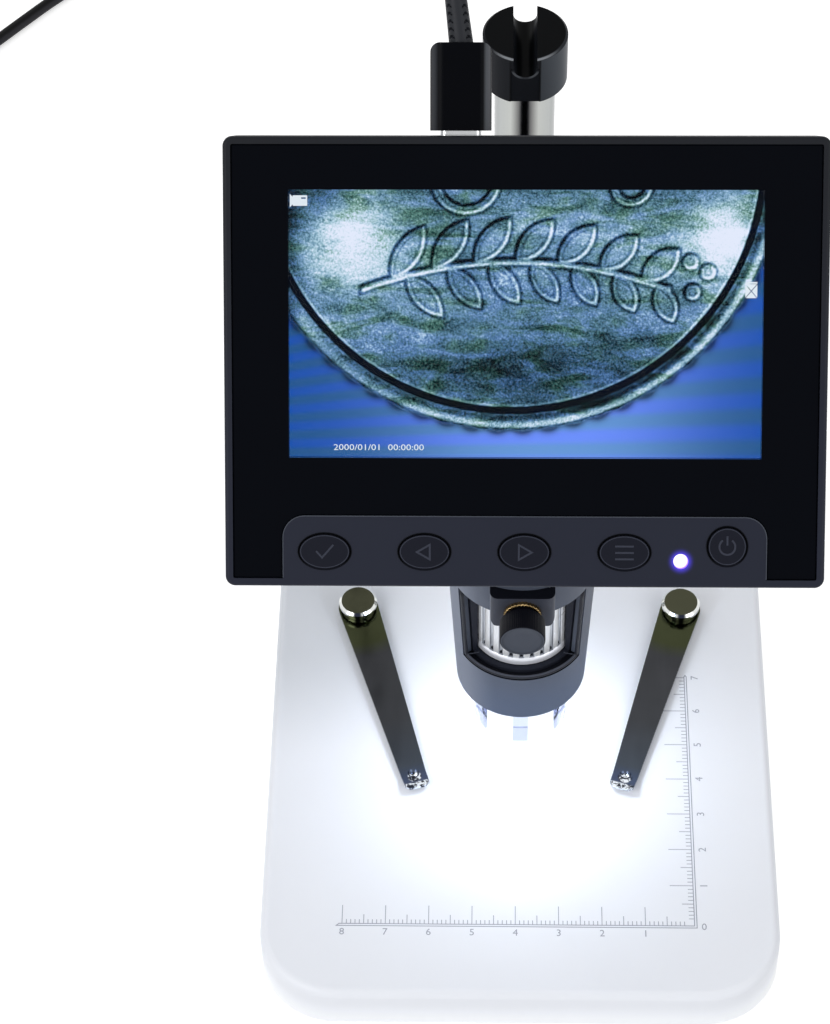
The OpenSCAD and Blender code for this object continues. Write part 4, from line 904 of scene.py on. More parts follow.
LIT_W, LIT_H = 95.04, 53.86
PICTURE_OUT = -2.24
DISC_MIDDLE, DISC_R = (-3.0, 33.0), 54.5
CELL = 0.27
FIELDS = ("disc", "lean", "dark", "shine", "band", "middle", "shadow")
RIM_IN, RIM_HALF, RIM_HIGH = 1.7, 1.6, 1.4
GROOVE_IN, GROOVE_HALF, DARKEST = 4.0, 0.62, 2.2
STEM_MIDDLE, STEM_TOP, STEM_BEND = -2, 12.5, 0.0058
STEM_HALF, STEM_REACH = 0.55, 31
LEAF_PAIRS, LEAF_STEP, LEAF_TURN, LEAF_SHORTER = 7, 8.4, 3, 0.5
LEAVES = ((-27, 58, 12.5, 2.5), (-24, -48, 11.0, 2.2))    # foot, angle, length and half width of the first pair
BERRIES, BERRY_R = ((33.5, 6.5), (36.5, 10.5), (33.0, 12.5)), 1.5
RINGS = ((-12.0, 29.0, 6.2, 0.8), (21.0, 28.0, 3.6, 0.7))    # middle, radius, half width
LIGHT_STEP, LIGHT_SPAN = (0.22, 0.3), 0.74    # half the step that the slope is taken over, and the whole of it
BAND_FOOT, BAND_PITCH = (-43, -26), 3.6       # middle of a gap between the cloth's bands, and their spacing there
BAND_WIDER, BAND_RUN = 0.031, 78              # growth of the spacing to the right, and run over the rise of a band
GLARES = (                 # strength, middle across and up, reach across and up
    (1.9, -35, 17, 8.0, 7.5), (0.40, 28, 12, 20, 10), (0.35, -28, 8, 20, 11), (0.30, 2, 20, 16, 6),
    (-0.55, 2, -10, 30, 6.5), (-0.55, -43, 25, 9, 5),
)


def bell(v, middle, reach):
    """One at the middle, falling off to both sides over the reach."""
    return np.exp(-(((v - middle) / reach) ** 2))


def leaf_edge(x, y, foot, angle, length, wide):
    """Signed distance to a leaf with two round sides: two equal discs' overlap, negative inside."""
    a = math.radians(angle)
    along = (x - foot[0]) * math.cos(a) + (y - foot[1]) * math.sin(a) - length / 2
    aside = -(x - foot[0]) * math.sin(a) + (y - foot[1]) * math.cos(a)
    r = (length**2 / 4 + wide**2) / (2 * wide)
    return np.hypot(along, np.abs(aside) + r - wide) - r


def stem_line(x):
    """Height of the twig's stem: a shallow arch."""
    return STEM_TOP - STEM_BEND * (x - STEM_MIDDLE) ** 2


def relief_edge(x, y):
    """Signed distance to the nearest of the disc's raised marks: a twig with leaves and berries, and two rings."""
    slope = -2 * STEM_BEND * (x - STEM_MIDDLE)
    shapes = [np.maximum(
        np.abs(y - stem_line(x)) / np.hypot(1, slope) - STEM_HALF, np.abs(x - STEM_MIDDLE) - STEM_REACH)]
    for k in range(LEAF_PAIRS):
        for first, angle, length, wide in LEAVES:
            foot = first + LEAF_STEP * k
            shapes.append(leaf_edge(
                x, y, (foot, stem_line(foot)), angle - LEAF_TURN * k, length - LEAF_SHORTER * k, wide))
    shapes += [np.hypot(x - across, y - up) - BERRY_R for across, up in BERRIES]
    shapes += [np.abs(np.hypot(x - across, y - up) - radius) - half for across, up, radius, half in RINGS]
    return np.minimum.reduce(shapes)


def relief_height(x, y):
    """Height of the disc's marks and of its rim."""
    inwards = DISC_R - np.hypot(x - DISC_MIDDLE[0], y - DISC_MIDDLE[1])
    rim = smooth_step(1 - np.abs(inwards - RIM_IN) / RIM_HALF) * RIM_HIGH
    return smooth_step(-relief_edge(x, y) / 0.8 + 0.4) + rim


def picture_fields(x, y):
    """What the picture is made of, point by point, in the order of FIELDS: how much is disc, how the relief catches
    light from the upper left, how dark its outlines are, how strongly the metal shines, the bands of the cloth
    behind, how much of the cloth lies in its light middle, and the disc's shadow on it."""
    from_middle = np.hypot(x - DISC_MIDDLE[0], y - DISC_MIDDLE[1])
    inwards = DISC_R - from_middle
    turn = np.arctan2(y - DISC_MIDDLE[1], x - DISC_MIDDLE[0])
    frayed = 0.18 * np.sin(turn * 61) * np.sin(turn * 23)
    disc = smooth_step((inwards + frayed) / 0.4 + 0.5)
    edge = relief_edge(x, y)
    step_x, step_y = LIGHT_STEP
    lean = (relief_height(x - step_x, y + step_y) - relief_height(x + step_x, y - step_y)) / LIGHT_SPAN
    lean += 0.65 * bell(edge, -0.30, 0.20) + 1.1 * bell(inwards, 5.0, 0.22)
    dark = bell(edge, 0.30, 0.30) + 0.45 * bell(edge, -0.85, 0.22) + 0.9 * bell(inwards, 0.2, 0.3)
    dark += DARKEST * smooth_step((GROOVE_HALF - np.abs(inwards - GROOVE_IN)) / 0.35 + 0.5)
    shine = sum(level * bell(x, x0, wide) * bell(y, y0, tall) for level, x0, y0, wide, tall in GLARES)
    on_field = smooth_step((inwards - GROOVE_IN) / 2.0)
    shine += 1.7 * bell(x, 40, 6.5) * bell(y, 17.5, 7) * on_field
    shine += 0.30 * bell(inwards, 1.6, 1.2) - 0.80 * bell(x, -48, 2.4)
    along = x - BAND_FOOT[0]
    period = BAND_PITCH + BAND_WIDER * along
    band = smooth_step(0.5 - 0.5 * np.cos(2 * math.pi * (y - BAND_FOOT[1] - along / BAND_RUN) / period))
    middle = np.exp(-((np.abs(x - 6) / np.where(x < 6, 32, 28)) ** 2.6))
    outside = np.maximum(from_middle - DISC_R, 0)
    notches = 0.5 + 0.5 * np.sin(65 * turn)
    shadow = (np.exp(-outside / 0.5) + notches * bell(outside, 0, 1.1)) * (1 - disc)
    return disc, lean, np.clip(dark, 0, DARKEST) * disc, shine, band, middle, np.minimum(shadow, 1)


def picture_finish():
    """The lit picture: a worn metal disc with relief on a blue ribbed cloth."""
    material, tree, shader = look("lit picture", 0.0, Base_Color=BLACK, Roughness=0.4, Emission_Strength=1.0)
    field = {name: add(tree, "Attribute", attribute_name=name).outputs["Fac"] for name in FIELDS}
    place = slanted = place_mm(tree)
    for axis, angle in (("X", 0.6), ("Y", -0.5)):
        slanted = add(
            tree, "VectorRotate", {"Vector": slanted, "Angle": angle}, rotation_type=axis + "_AXIS").outputs[0]
    lines = stretched(tree, slanted, (0.18, 1.6, 1.6))
    speckle = ripple(tree, place, 2.2, 4.0, rough=0.8)
    cloud = ripple(tree, place, 0.13, 5.0, rough=0.6)
    patch = ripple(tree, stretched(tree, place, (0.35, 1.2, 1.2)), 0.22, 4.0, twist=1.2)
    tone = calc(tree, "ADD", product(tree, field["shine"], 0.36), 0.40)
    for value, amount in (
        (field["lean"], 0.26), (ripple(tree, lines, 1.0, 5.0, rough=0.65), 0.22), (speckle, 1.6), (cloud, 0.5),
        (patch, 0.9), (between(tree, noise(tree, lines, 1.6, 3.0, rough=0.7), 0.63, 0.75), 0.2),
        (field["dark"], -0.40),
    ):
        tone = calc(tree, "ADD", tone, product(tree, value, amount))
    metal_tone = colour_steps(tree, tone, [
        (0.0, 6, 12, 22), (0.16, 26, 50, 66), (0.36, 66, 106, 128), (0.54, 112, 154, 180), (0.74, 172, 206, 222),
        (1.0, 226, 234, 252)])
    dim = between(tree, tone, 0.85, 0.55)
    green = between(tree, calc(tree, "SUBTRACT", cloud, patch), -0.05, 0.20)
    blue = between(tree, calc(tree, "ADD", patch, speckle), 0.0, 0.14)
    for share, amount, tint in ((green, 0.7, screen(202, 222, 146)), (blue, 0.6, screen(152, 176, 255))):
        metal_tone = blend_colours(tree, product(tree, share, dim, amount), metal_tone, tint, "MULTIPLY")
    cloth = painted(tree, screen(18, 78, 172), (field["middle"], screen(108, 144, 252)))
    grey = painted(tree, screen(30, 82, 136), (field["middle"], screen(102, 152, 216)))
    feed(tree, shader.inputs, Emission_Color=painted(
        tree, grey, (field["band"], cloth), (between(tree, speckle, 0.0, 0.3, 0.0, 0.25), screen(110, 160, 240)),
        (product(tree, field["shadow"], 0.8), screen(14, 26, 44)), (field["disc"], metal_tone)))
    return material


def lit_picture():
    """Flat grid over the lit area, with the picture's fields kept at its points."""
    columns, rows = round(LIT_W / CELL) + 1, round(LIT_H / CELL) + 1
    x, y = np.meshgrid(np.linspace(-0.5, 0.5, columns) * LIT_W, np.linspace(-0.5, 0.5, rows) * LIT_H)
    flat = np.stack([x, y, np.full_like(x, PICTURE_OUT)], -1).reshape(-1, 3) * MM
    piece = mesh_piece("screen_picture", on_head(flat), grid_faces(rows, columns))
    for name, values in zip(FIELDS, picture_fields(x.ravel(), y.ravel())):
        piece.data.attributes.new(name, "FLOAT", "POINT").data.foreach_set("value", values.astype(np.float32))
    return piece


dress(lit_picture(), "carriage", "lcd_picture", picture_finish())

SIGN_THICK = 0.02
CAMERA_BOXES = (           # left, right, low and high of the camera sign's body, which a slot goes through
    (-46.7, -43.8, 23.6, 25.0), (-46.7, -45.0, 25.0, 25.3), (-44.1, -43.8, 25.0, 25.3), (-46.7, -43.8, 25.3, 25.7))
CAMERA_FLARE = [(-47.3, 23.3), (-46.7, 23.9), (-46.7, 25.4), (-47.3, 26.0)]
CARD = (44.0, 46.4, 5.3, 8.1)
CARD_GAP, CARD_STRIP = 0.1, 0.45
CLOCK_UP, CLOCK_TALL, CLOCK_WIDER = -25.0, 1.2, (1.25, 1.0, 1.0)


def screen_marks():
    """Light marks over the picture: a camera, a card and the clock's numbers, all plain signs."""
    left, right, low, high = CARD
    across, up, gap = (left + right) / 2, (low + high) / 2, CARD_GAP
    outlines = [[(x0, y0), (x1, y0), (x1, y1), (x0, y1)] for x0, x1, y0, y1 in CAMERA_BOXES]
    outlines += [
        CAMERA_FLARE,
        [(left, low + gap), (across - gap, up), (left, high - gap)],
        [(right, low + gap), (across + gap, up), (right, high - gap)],
        [(left + gap, low), (right - gap, low), (across, up - gap)],
        [(left + gap, high), (right - gap, high), (across, up + gap)],
        [(left, high + gap), (right, high + gap), (right, high + CARD_STRIP), (left + 0.5, high + CARD_STRIP)],
    ]
    parts = [prism(outline, 0, SIGN_THICK) for outline in outlines]
    for body, middle in (("2000/01/01", -34.0), ("00:00:00", -24.0)):
        points, faces = number_shape(body, CLOCK_TALL, SIGN_THICK)
        parts.append(moved((points * CLOCK_WIDER, faces), middle, CLOCK_UP))
    return head_shape("screen_marks", parts, PICTURE_OUT + 0.03)


dress(screen_marks(), "carriage", "lcd_picture", ink("screen marks", screen(222, 232, 240), 1.0))


# ---------------------------------------------------------------- cover glass

GLASS_HALF_W, GLASS_LOW, GLASS_HIGH, GLASS_T = 58.9, -51.45, 35.85, 1.0
FOOT_HALF_W, FOOT_UP, FOOT_R = 48.95, -38.65, 4.5
GLASS_EDGE = 0.2


def foot_line():
    """Line between glass and key panel: up at the left, along over two round corners, and down at the right."""
    corners = [
        ring_line((side * (FOOT_HALF_W - FOOT_R), FOOT_UP - FOOT_R), FOOT_R, *turn, 12)
        for side, turn in ((-1, (180, 90)), (1, (90, 0)))
    ]
    return np.vstack([(-FOOT_HALF_W, GLASS_LOW), *corners, (FOOT_HALF_W, GLASS_LOW)])


def pierced_plate(rings, opening):
    """Plate through (outline, height) rings from the back up to the front, with one opening through it: walls join
    the rings, and both faces are triangles between the outline and the opening."""
    count, hole = len(rings[0][0]), len(opening)
    levels = [np.column_stack([outline, np.full(count, height)]) for outline, height in rings]
    faces = grid_faces(len(rings), count, wrap_columns=True)
    first = len(rings) * count
    for ring_first, hole_first, (outline, height) in ((0, first, rings[0]), (first - count, first + hole, rings[-1])):
        levels.append(np.column_stack([opening, np.full(hole, height)]))
        loops = [[Vector((*map(float, p), 0)) for p in ring] for ring in (outline, opening)]
        number = list(range(ring_first, ring_first + count)) + list(range(hole_first, hole_first + hole))
        faces += [[number[k] for k in face] for face in tessellate_polygon(loops)]
    faces += [[first + k, first + (k + 1) % hole, first + hole + (k + 1) % hole, first + hole + k]
              for k in range(hole)]
    return np.vstack(levels), faces


def cover_glass():
    """Cover glass: black print round the lit area, with softened edges, and the clear window over the picture."""
    outline = np.vstack([
        (-GLASS_HALF_W, GLASS_LOW), foot_line(), (GLASS_HALF_W, GLASS_LOW), (GLASS_HALF_W, GLASS_HIGH),
        (-GLASS_HALF_W, GLASS_HIGH),
    ])
    opening = np.array([(-1, -1), (1, -1), (1, 1), (-1, 1)]) * (LIT_W / 2, LIT_H / 2)
    rings = [(outline, -GLASS_T), (outline, -GLASS_EDGE), (inset(outline, GLASS_EDGE / 3), -GLASS_EDGE / 3),
             (inset(outline, GLASS_EDGE), 0.0)]
    border_print = moulded(
        "border print", screen(7, 9, 15), 0.05, depth=0.0, change=0.1, smear=0.05, gloss=0.02)
    dress(head_shape("glass_border", [pierced_plate(rings, opening)], 0, 12), "carriage", "screen_glass",
          border_print, ("front_glass",))
    dress(head_shape("glass_window", [prism(inset(opening, 0.02), -GLASS_T, 0.0)], 0), "carriage", "screen_glass")


cover_glass()


# ---------------------------------------------------------------- marks on the keys

KEY_TOP, PANEL_OUT = 0.88, 0.4
KEY_ROW = -45.95
SIGN_W, SIGN_H = 0.42, 0.16
EDGE_W, EDGE_H = 0.18, 0.06
SUNK = -0.05               # foot of the raised lines, inside the key
OVAL, ROUND = (5.05, 3.45), (3.8, 3.8)
KEYS = {                   # middle, half width and height, and the lines of the sign with whether they close
    "confirm": ((-40.4, KEY_ROW), OVAL, [([(-1.7, 0.1), (-0.5, -1.2), (1.8, 1.4)], False)]),
    "left": ((-20.2, KEY_ROW), OVAL, [([(1.1, 1.5), (-1.5, 0), (1.1, -1.5)], True)]),
    "right": ((0.0, KEY_ROW), OVAL, [([(-1.1, 1.5), (1.5, 0), (-1.1, -1.5)], True)]),
    "menu": ((20.2, KEY_ROW), OVAL, [([(-1.9, v), (1.9, v)], False) for v in (-1.3, 0, 1.3)]),
    "power": ((40.9, -44.65), ROUND, [(ring_line((0, 0), 1.6, 125, 415), False), ([(0, 0.3), (0, 2.2)], False)]),
}


def key_sign(middle, half, lines):
    """Raised lines on a key, and the fine raised edge round its top, both painted lighter as painted highlights."""
    edge = ring_line((0, 0), 1.0, steps=72) * (half[0] - 0.2, half[1] - 0.2)
    parts = [bar(np.asarray(line) + middle, SIGN_W, SUNK, SIGN_H, closed) for line, closed in lines]
    return parts + [bar(edge + middle, EDGE_W, SUNK, EDGE_H, True)]


def key_rim(middle, half):
    """Ring round a key's hole, painted near black as the shade in the gap round the key, with painted light where its
    flank points up: an oval ring whose inner flank slants down to the key.
    """
    profile = np.array([(0.13, -0.1), (0.13, 0.03), (0.32, 0.16), (0.42, 0.16), (0.44, -0.1)])
    a = np.linspace(0, 2 * math.pi, 72, endpoint=False)
    across = middle[0] + (half[0] + profile[:, :1]) * np.cos(a)
    up = middle[1] + (half[1] + profile[:, :1]) * np.sin(a)
    points = np.stack([across, up, np.broadcast_to(profile[:, 1:], across.shape)], -1).reshape(-1, 3)
    return points, grid_faces(len(profile), len(a), wrap_rows=True, wrap_columns=True)


def panel_edge():
    """Fine raised edge of the key panel along the glass, painted light as a painted highlight."""
    line = inset(np.vstack([foot_line(), (0, GLASS_LOW - 30)]), -0.12)[:-1]
    return [bar(line, 0.24, -0.3, 0.05)]


# the signs and the raised edges round the keys are painted lighter than the keys, as painted highlights
sign_highlight_finish = moulded("key sign", screen(54, 57, 69), 0.4, grain=5.0, gloss=0.1)
for key_name, key in KEYS.items():
    dress(head_shape("sign_" + key_name, key_sign(*key), KEY_TOP), key_name + "_key", "key_black", sign_highlight_finish)
# painted shade round each key: a near-black ring, with painted light where its flank points up
rim_shade_finish = moulded("key shade rim", screen(8, 9, 13), 0.4, screen(27, 29, 38), (0.80, 0.95), gloss=0.05)
rims = [key_rim(middle, half) for middle, half, _ in KEYS.values()]
dress(head_shape("key_shade_rims", rims, PANEL_OUT, 20), "carriage", "panel_charcoal", rim_shade_finish)
# the panel's edge along the glass is painted light, as a painted highlight
edge_highlight_finish = moulded("panel edge highlight", screen(70, 74, 84), 0.4, gloss=0.1)
dress(head_shape("panel_edge", panel_edge(), PANEL_OUT, 60), "carriage", "panel_charcoal", edge_highlight_finish)


# ---------------------------------------------------------------- printed scale on the base

SCALE_ZERO = (39.0, -60.2)
SCALE_OFF = (1.3, 0.9)     # how far the lines of the scale lie outside its zero
LINE_GAP = 0.55
BASE_TOP = 13.0
TICKS = ((10, 5.4), (5, 2.7), (1, 1.25))
SHORTER = 0.92             # marks of the arm along the front over those of the other arm
PRINT_W, TICK_W, PRINT_H = 0.22, 0.176, 0.025
NUMBER_TALL = 1.75
ACROSS_LONG, UP_LONG = 80, 70


def tick(k):
    """Length of the mark at a whole millimetre."""
    return next(length for step, length in TICKS if k % step == 0)


def number(k):
    """Points and faces of a number of the scale."""
    return number_shape(str(k), NUMBER_TALL, PRINT_H)


def printed_scale():
    """Millimetre scale of two arms at right angles: marks, a narrow outline under them that is closed at its ends, and
    a number at each centimetre."""
    x0, y0 = SCALE_ZERO
    low, far = y0 - SCALE_OFF[1], x0 + SCALE_OFF[0]
    left, top = x0 - ACROSS_LONG, y0 + UP_LONG
    marks = [[(x0 - k, low), (x0 - k, low + SHORTER * tick(k))] for k in range(1, ACROSS_LONG + 1)]
    marks += [[(far, y0 + k), (far - tick(k), y0 + k)] for k in range(1, UP_LONG + 1)]
    parts = [bar(mark, TICK_W, 0, PRINT_H) for mark in marks]
    parts.append(bar([
        (left - 0.7, low), (far, low), (far, top + 0.3), (far + LINE_GAP / 2, top + 0.7), (far + LINE_GAP, top + 0.3),
        (far + LINE_GAP, low - LINE_GAP), (left - 1.3, low - LINE_GAP),
    ], PRINT_W, 0, PRINT_H, closed=True))
    parts += [moved(number(k), x0 - 10 * k, y0 - 3.0) for k in range(1, ACROSS_LONG // 10 + 1)]
    parts += [moved(quarter_turn(number(k)), x0 + 3.8, y0 + 10 * k) for k in range(1, UP_LONG // 10 + 1)]
    parts.append(moved(number(0), x0 + 3.5, y0 - 1.1))
    return finished("printed_scale", [((points + (0, 0, BASE_TOP + 0.002)) * MM, faces) for points, faces in parts])


dress(printed_scale(), "stand", "base_white", ink("scale print", screen(164, 168, 182)))


# ---------------------------------------------------------------- turned pieces

FLUTES, FLUTE_DEEP = 72, 0.06
TEETH, TOOTH_DEEP = 30, 0.2
WHEEL_RIBS, RIB_DEEP = 30, 0.5
BOSSES = {                 # middle of the boss's face, way out, and how deep the insert goes in
    "front": (np.array((0, -35.2, 97)) * MM, (0, -1, 0), 3.8),
    "rear": (np.array((0, 64, 98.5)) * MM, (0, 1, 0), 7.5),
}


def wave(count):
    """Six steps round each of so many waves, from one down to zero and back."""
    return 0.5 + 0.5 * np.cos(np.linspace(0, 2 * math.pi * count, count * 6, endpoint=False))


def knob(side, place, out):
    """Thumb-screw knob: neck, bevelled back, side finely fluted up to its front edge, and a face sunk by a hair."""
    profile = np.array([
        (0, 0.3), (2.6, 0.3), (2.95, 0.5), (2.95, 2.3), (4.45, 2.3), (4.75, 2.45), (4.86, 2.7), (4.9, 2.95),
        (4.9, 7.35), (4.86, 7.5), (4.72, 7.6), (4.4, 7.6), (4.3, 7.52), (2.0, 7.5), (0, 7.5),
    ])
    share = (profile[:, 1] > 2.6) & (profile[:, 0] > 4.6)
    radius = profile[:, :1] - FLUTE_DEEP * share[:, None] * wave(FLUTES)
    piece = finished(side + "_knob_body", [turned(radius * MM, profile[:, 1] * MM, place, out, (1, 0, 0))], 40)
    dress(piece, side + "_knob", "black_gloss", knob_finish, (side + "_screw_knob",))


def insert_ring(side, place, out, long):
    """Pressed-in brass ring: a flange with a knurled edge on the boss, a bevelled bore, and a body inside."""
    profile = np.array([
        (2.6, -long), (3.65, -long), (3.65, 0.0), (4.1, 0.02), (4.1, 0.75), (3.95, 0.9), (3.4, 0.9), (3.1, 0.6),
        (2.6, -0.2),
    ])
    share = np.array((0, 0, 0, 1.0, 1.0, 0.9, 0.3, 0, 0))
    radius = profile[:, :1] - TOOTH_DEEP * share[:, None] * wave(TEETH)
    shape = turned(radius * MM, profile[:, 1] * MM, place, out, (1, 0, 0), loop=True)
    dress(finished(side + "_insert_ring", [shape], 25), "carriage", "insert_brass", replaced=(side + "_insert",))


def ribbed_wheel():
    """Focus wheel: rounded ribs that end in slants over a notched step and a smooth rim."""
    profile = np.array([    # height, radius, and depth of the grooves over RIB_DEEP
        (68.2, 9.3, 0), (68.2, 11.4, 0), (68.35, 11.65, 0), (70.2, 11.65, 0), (70.35, 11.5, 0), (70.4, 11.45, 0),
        (70.45, 11.4, 1.9), (71.3, 11.5, 1.5), (72.4, 11.5, 1.0), (82, 11.5, 1.0), (92.6, 11.5, 1.0),
        (93.3, 11.45, 1.0), (93.75, 11.2, 0.5), (94.0, 10.8, 0), (94.0, 9.3, 0),
    ])
    turn = np.arange(WHEEL_RIBS * 14) / 14 % 1 - 0.5
    deep = RIB_DEEP * smooth_step((np.abs(turn) - 0.24) / 0.2)
    radius = profile[:, 1:2] - profile[:, 2:] * deep
    shape = turned(radius * MM, profile[:, 0] * MM, AXIS * MM, (0, 0, 1), (0, -1, 0), loop=True)
    dress(finished("focus_wheel_ribbed", [shape], 50), "focus_ring", "wheel_silver", replaced=("focus_wheel",))


knob_finish = moulded("knob black", knob_tone, 0.38, grain=4.0, depth=0.002, change=0.15, gloss=0.05)
for side_name, (boss, boss_out, _) in BOSSES.items():
    knob(side_name, boss, boss_out)
for side_name, (boss, boss_out, deep_in) in BOSSES.items():
    insert_ring(side_name, boss, boss_out, deep_in)
ribbed_wheel()


# ---------------------------------------------------------------- trim of the window, the hood and the plug

SLEEVE_R = 15.5            # radius that the window's width is counted at
SLEEVE_FOOT, SLEEVE_FOOT_R, SLEEVE_LEAN = 52.5, 14.7, 2.7 / 60
WINDOW_HALF = math.radians(58) * SLEEVE_R
WINDOW_LOW, WINDOW_HIGH = 67.4, 92.0


def on_sleeve(across, height, out):
    """Place on the sleeve's surface from millimetres round it, its height, and the distance out from it."""
    angle = across / SLEEVE_R
    r = SLEEVE_FOOT_R + SLEEVE_LEAN * (height - SLEEVE_FOOT) + out
    return (np.stack([r * np.sin(angle), -r * np.cos(angle), height], -1) + AXIS) * MM


def window_line(edge, corner, out):
    """Line set in by that much from the edge of the sleeve's window: down one side, across below and up the other,
    with rounded lower corners, kept that far out from the sleeve's surface."""
    arc, low = WINDOW_HALF - edge, WINDOW_LOW + edge
    flat = np.vstack([
        np.column_stack([np.full(12, -arc), np.linspace(WINDOW_HIGH, low + corner, 12)]),
        ring_line((-arc + corner, low + corner), corner, 180, 270, 8)[1:],
        np.column_stack([np.linspace(-arc + corner, arc - corner, 40), np.full(40, low)])[1:],
        ring_line((arc - corner, low + corner), corner, 270, 360, 8)[1:],
        np.column_stack([np.full(12, arc), np.linspace(low + corner, WINDOW_HIGH, 12)])[1:],
    ])
    return on_sleeve(flat[:, 0], flat[:, 1], out)


def window_lip():
    """The barrel's window frame in the sleeve's window: a thin round lip with painted highlights where it points up, a
    near-black tube outside it as painted shade in the gap, and a short mitre ridge inwards from each lower corner."""
    # painted shade: a near-black tube in the gap round the lip
    gap_shade_finish = moulded("gap shade black", screen(8, 9, 12), 0.6, gloss=0.02)
    # painted highlights on the lip and the mitre ridges where they point up
    lip_highlight_finish = moulded("lip black", screen(38, 41, 50), 0.35, screen(78, 82, 94), (0.6, 0.95), gloss=0.15)
    pieces = [
        ("window_gap_shade", window_line(0.14, 0.6, -0.55), 0.15, 8, gap_shade_finish),
        ("window_lip", window_line(0.68, 0.9, -0.44), 0.42, 12, lip_highlight_finish),
    ]
    t = np.linspace(0, 1, 6)
    for name, side in (("window_mitre_left", -1), ("window_mitre_right", 1)):
        ridge = on_sleeve(side * (WINDOW_HALF - 1.0 - 1.5 * t), WINDOW_LOW + 0.9 + 0.1 * t, -0.5 - 2.4 * t)
        pieces.append((name, ridge, 0.14, 6, lip_highlight_finish))
    for name, line, radius, sides, finish in pieces:
        dress(tube(name, line, radius * MM, sides), "carriage", "black_satin", finish)


RIB_HALF, RIB_FACE = 1.7, 9.66                         # half width, and distance of its face from the axis
RIB_ENDS = (36.9, 37.3, 42.4)                          # heights of the slant's foot, its top and the block's top


def rib_ends():
    """Lower ends of the hood's six inner ribs: slim blocks that lie along its wall and taper with it."""
    wall = np.interp(RIB_ENDS, HOOD_HEIGHTS, HOOD_INNER) - 0.03
    face = (wall[0] - 0.15, RIB_FACE, RIB_FACE)
    parts = []
    for turn in np.arange(6) * math.pi / 3:
        out = np.array((math.sin(turn), -math.cos(turn), 0))
        side = np.array((math.cos(turn), math.sin(turn), 0))
        rings = [[
            r * out + s * RIB_HALF * side + AXIS + (0, 0, h) for r, s in ((f, -1), (f, 1), (w, 1), (w, -1))
        ] for f, w, h in zip(face, wall, RIB_ENDS)]
        faces = grid_faces(3, 4, wrap_columns=True) + [[0, 1, 2, 3], [8, 9, 10, 11]]
        parts.append((np.array(rings).reshape(-1, 3) * MM, faces))
    return parts


RELIEF_R, RELIEF_TAPER = 2.45, 0.4
NOTCH_PITCH, NOTCH_DEEP, NOTCH_AT = 1.55, 0.5, 0.80    # the angle is counted from the relief's side
NOTCH_R, BITE_R, BITE_OFF = 0.70, 0.58, 0.45
NOTCH_FROM, NOTCH_TO = 0.03, 0.95                      # shares of the relief's length
NOTCH_ROUND, NOTCH_SLOPE = 2.3, 0.16                   # radius that turns angle into width, and width of the flank


def relief_surface():
    """Strain relief: a tapered round sleeve, smooth down its front and back, with two columns of crescent notches on
    each side of them. A crescent is where a point lies in one disc of the notch's cell and outside a second one."""
    rows, columns = 220, 120
    along = np.linspace(0, 1, rows)[:, None]
    angle = (np.arange(columns) * 2 * math.pi / columns)[None]
    aside = (np.abs((angle % math.pi) - math.pi / 2) - NOTCH_AT) * NOTCH_ROUND
    up = ((along * RELIEF_LENGTH / MM / NOTCH_PITCH) % 1 - 0.5) * NOTCH_PITCH
    disc = NOTCH_R - np.hypot(aside, up)
    bite = np.hypot(aside, up + BITE_OFF) - BITE_R
    notch = smooth_step(np.minimum(disc, bite) / NOTCH_SLOPE) * (along < NOTCH_TO) * (along > NOTCH_FROM)
    radius = (RELIEF_R - RELIEF_TAPER * along - NOTCH_DEEP * notch)[..., None] * MM
    angle = angle[..., None]
    points = (
        relief_foot + along[..., None] * RELIEF_LENGTH * relief_way
        + radius * (np.cos(angle) * ACROSS + np.sin(angle) * np.cross(relief_way, ACROSS))
    )
    foot, tip = (np.broadcast_to(middle, (1, columns, 3)) for middle in (relief_foot, cord_exit))
    return np.concatenate([foot, points, tip]), grid_faces(rows + 2, columns, wrap_columns=True)


window_lip()
rib_finish = clear("rib clear", screen(204, 208, 226), 0.03, 1.05, 0.3)
dress(finished("hood_rib_ends", rib_ends()), "carriage", "hood_clear", rib_finish).visible_shadow = False
relief_finish = moulded("relief rubber", screen(36, 38, 43), 0.45, grain=2.0, depth=0.006, gloss=0.15)
relief = finished("strain_relief_notched", [relief_surface()], 40)
dress(relief, "carriage", "plug_black", relief_finish, ("strain_relief",))


# ---------------------------------------------------------------- studio

SKY = 0.50
FLOOR_TONE, FLOOR_LIFT = 0.78, 0.55
FLOOR_HALF, FLOOR_LOW = 3.0, -0.3 * MM
LAMP_AIM = np.array((0, -0.02, 0.08))
LAMPS = {                  # place and size in metres, and the share of a plain level that it gives at the aim
    "key_lamp": ((-0.85, -0.80, 0.95), 0.8, 0.38),
    "fill_lamp": ((1.0, -0.75, 0.80), 0.9, 0.26),
    "back_lamp": ((-0.8, 0.9, 0.9), 0.8, 0.16),
}
RING_WATTS, RING_ACROSS, RING_HEIGHT = 0.016, 18 * MM, 57.4
RING_COLOUR = (0.84, 0.92, 1.0)


def bare_tree(holder, output):
    """Empty node tree of a world or material, and the surface socket of its new output node."""
    holder.use_nodes = True
    holder.node_tree.nodes.clear()
    return holder.node_tree, holder.node_tree.nodes.new("ShaderNodeOutput" + output).inputs["Surface"]


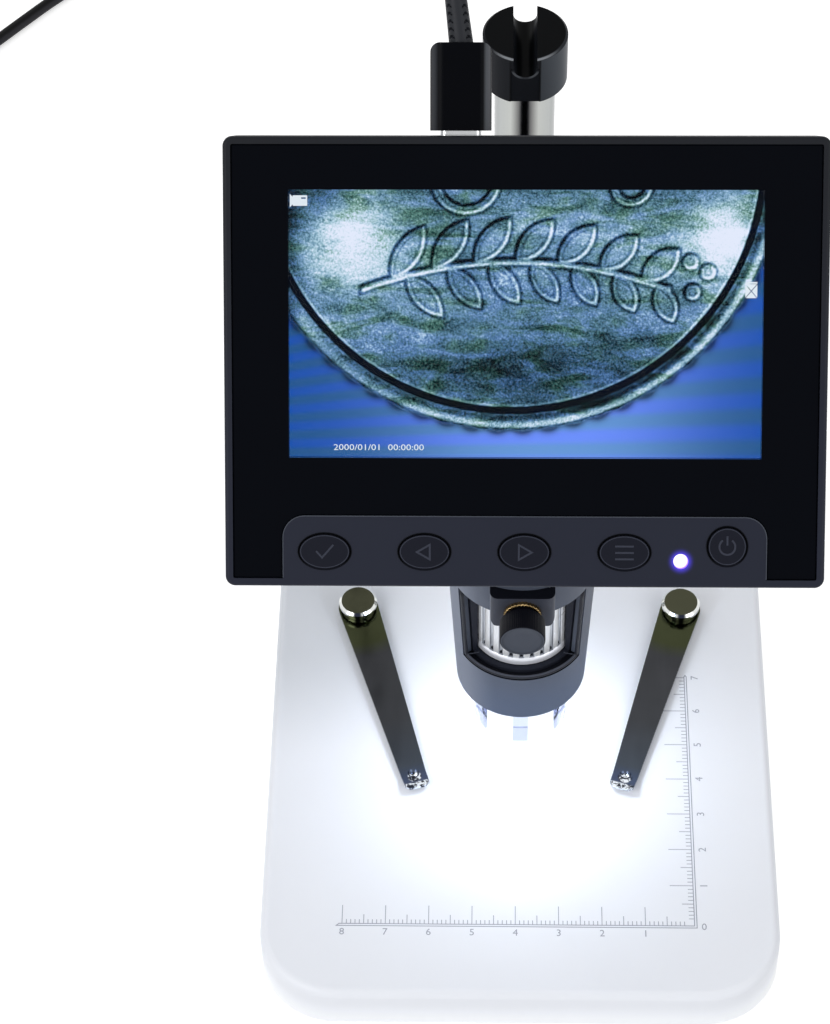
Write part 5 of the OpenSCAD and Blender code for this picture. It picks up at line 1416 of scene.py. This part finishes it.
def seen_ray(tree):
    """One for rays from the camera and through mirrors and glass, zero for the rest."""
    path = add(tree, "LightPath").outputs
    first = calc(tree, "ADD", path["Is Camera Ray"], path["Is Glossy Ray"])
    return calc(tree, "ADD", first, path["Is Transmission Ray"], clamp=True)


def studio():
    """White surroundings that give soft light, and a pale floor that keeps the shadow."""
    world = bpy.data.worlds.new("studio")
    bpy.context.scene.world = world
    tree, surface = bare_tree(world, "World")
    soft = add(tree, "Background", {"Color": WHITE, "Strength": SKY})
    white = add(tree, "Background", {"Color": WHITE, "Strength": 1.0})
    both = add(tree, "MixShader", {0: seen_ray(tree), 1: soft.outputs[0], 2: white.outputs[0]})
    tree.links.new(both.outputs[0], surface)

    corners = [(x * FLOOR_HALF, y * FLOOR_HALF, FLOOR_LOW) for x, y in ((-1, -1), (1, -1), (1, 1), (-1, 1))]
    floor = mesh_piece("floor", corners, [(0, 1, 2, 3)])
    material = bpy.data.materials.new("floor")
    tree, surface = bare_tree(material, "Material")
    matt = add(tree, "BsdfDiffuse", {"Color": (FLOOR_TONE, FLOOR_TONE, FLOOR_TONE, 1)})
    lift = add(tree, "Emission", {"Strength": product(tree, seen_ray(tree), FLOOR_LIFT)})
    total = add(tree, "AddShader", {0: matt.outputs[0], 1: lift.outputs[0]})
    tree.links.new(total.outputs[0], surface)
    floor.data.materials.append(material)


def soft_lamp(name, place, size, level):
    """Square lamp aimed at the middle of the object."""
    data = bpy.data.lights.new(name, "AREA")
    data.size = size
    way = np.asarray(place) - LAMP_AIM
    data.energy = level * math.pi**2 * float(way @ way)
    turn = Vector(way).to_track_quat("Z", "Y").to_matrix().to_4x4()
    in_scene(name, data).matrix_world = Matrix.Translation(Vector(place)) @ turn


def ring_lamp():
    """Light of the microscope's own lamp ring: a small cool disc over the stage, facing down."""
    data = bpy.data.lights.new("ring_lamp", "AREA")
    data.shape, data.size = "DISK", RING_ACROSS
    data.color, data.energy = RING_COLOUR, RING_WATTS
    in_scene("ring_lamp", data).matrix_world = Matrix.Translation((AXIS + (0, 0, RING_HEIGHT)) * MM)


studio()
for lamp_name, values in LAMPS.items():
    soft_lamp(lamp_name, *values)
ring_lamp()
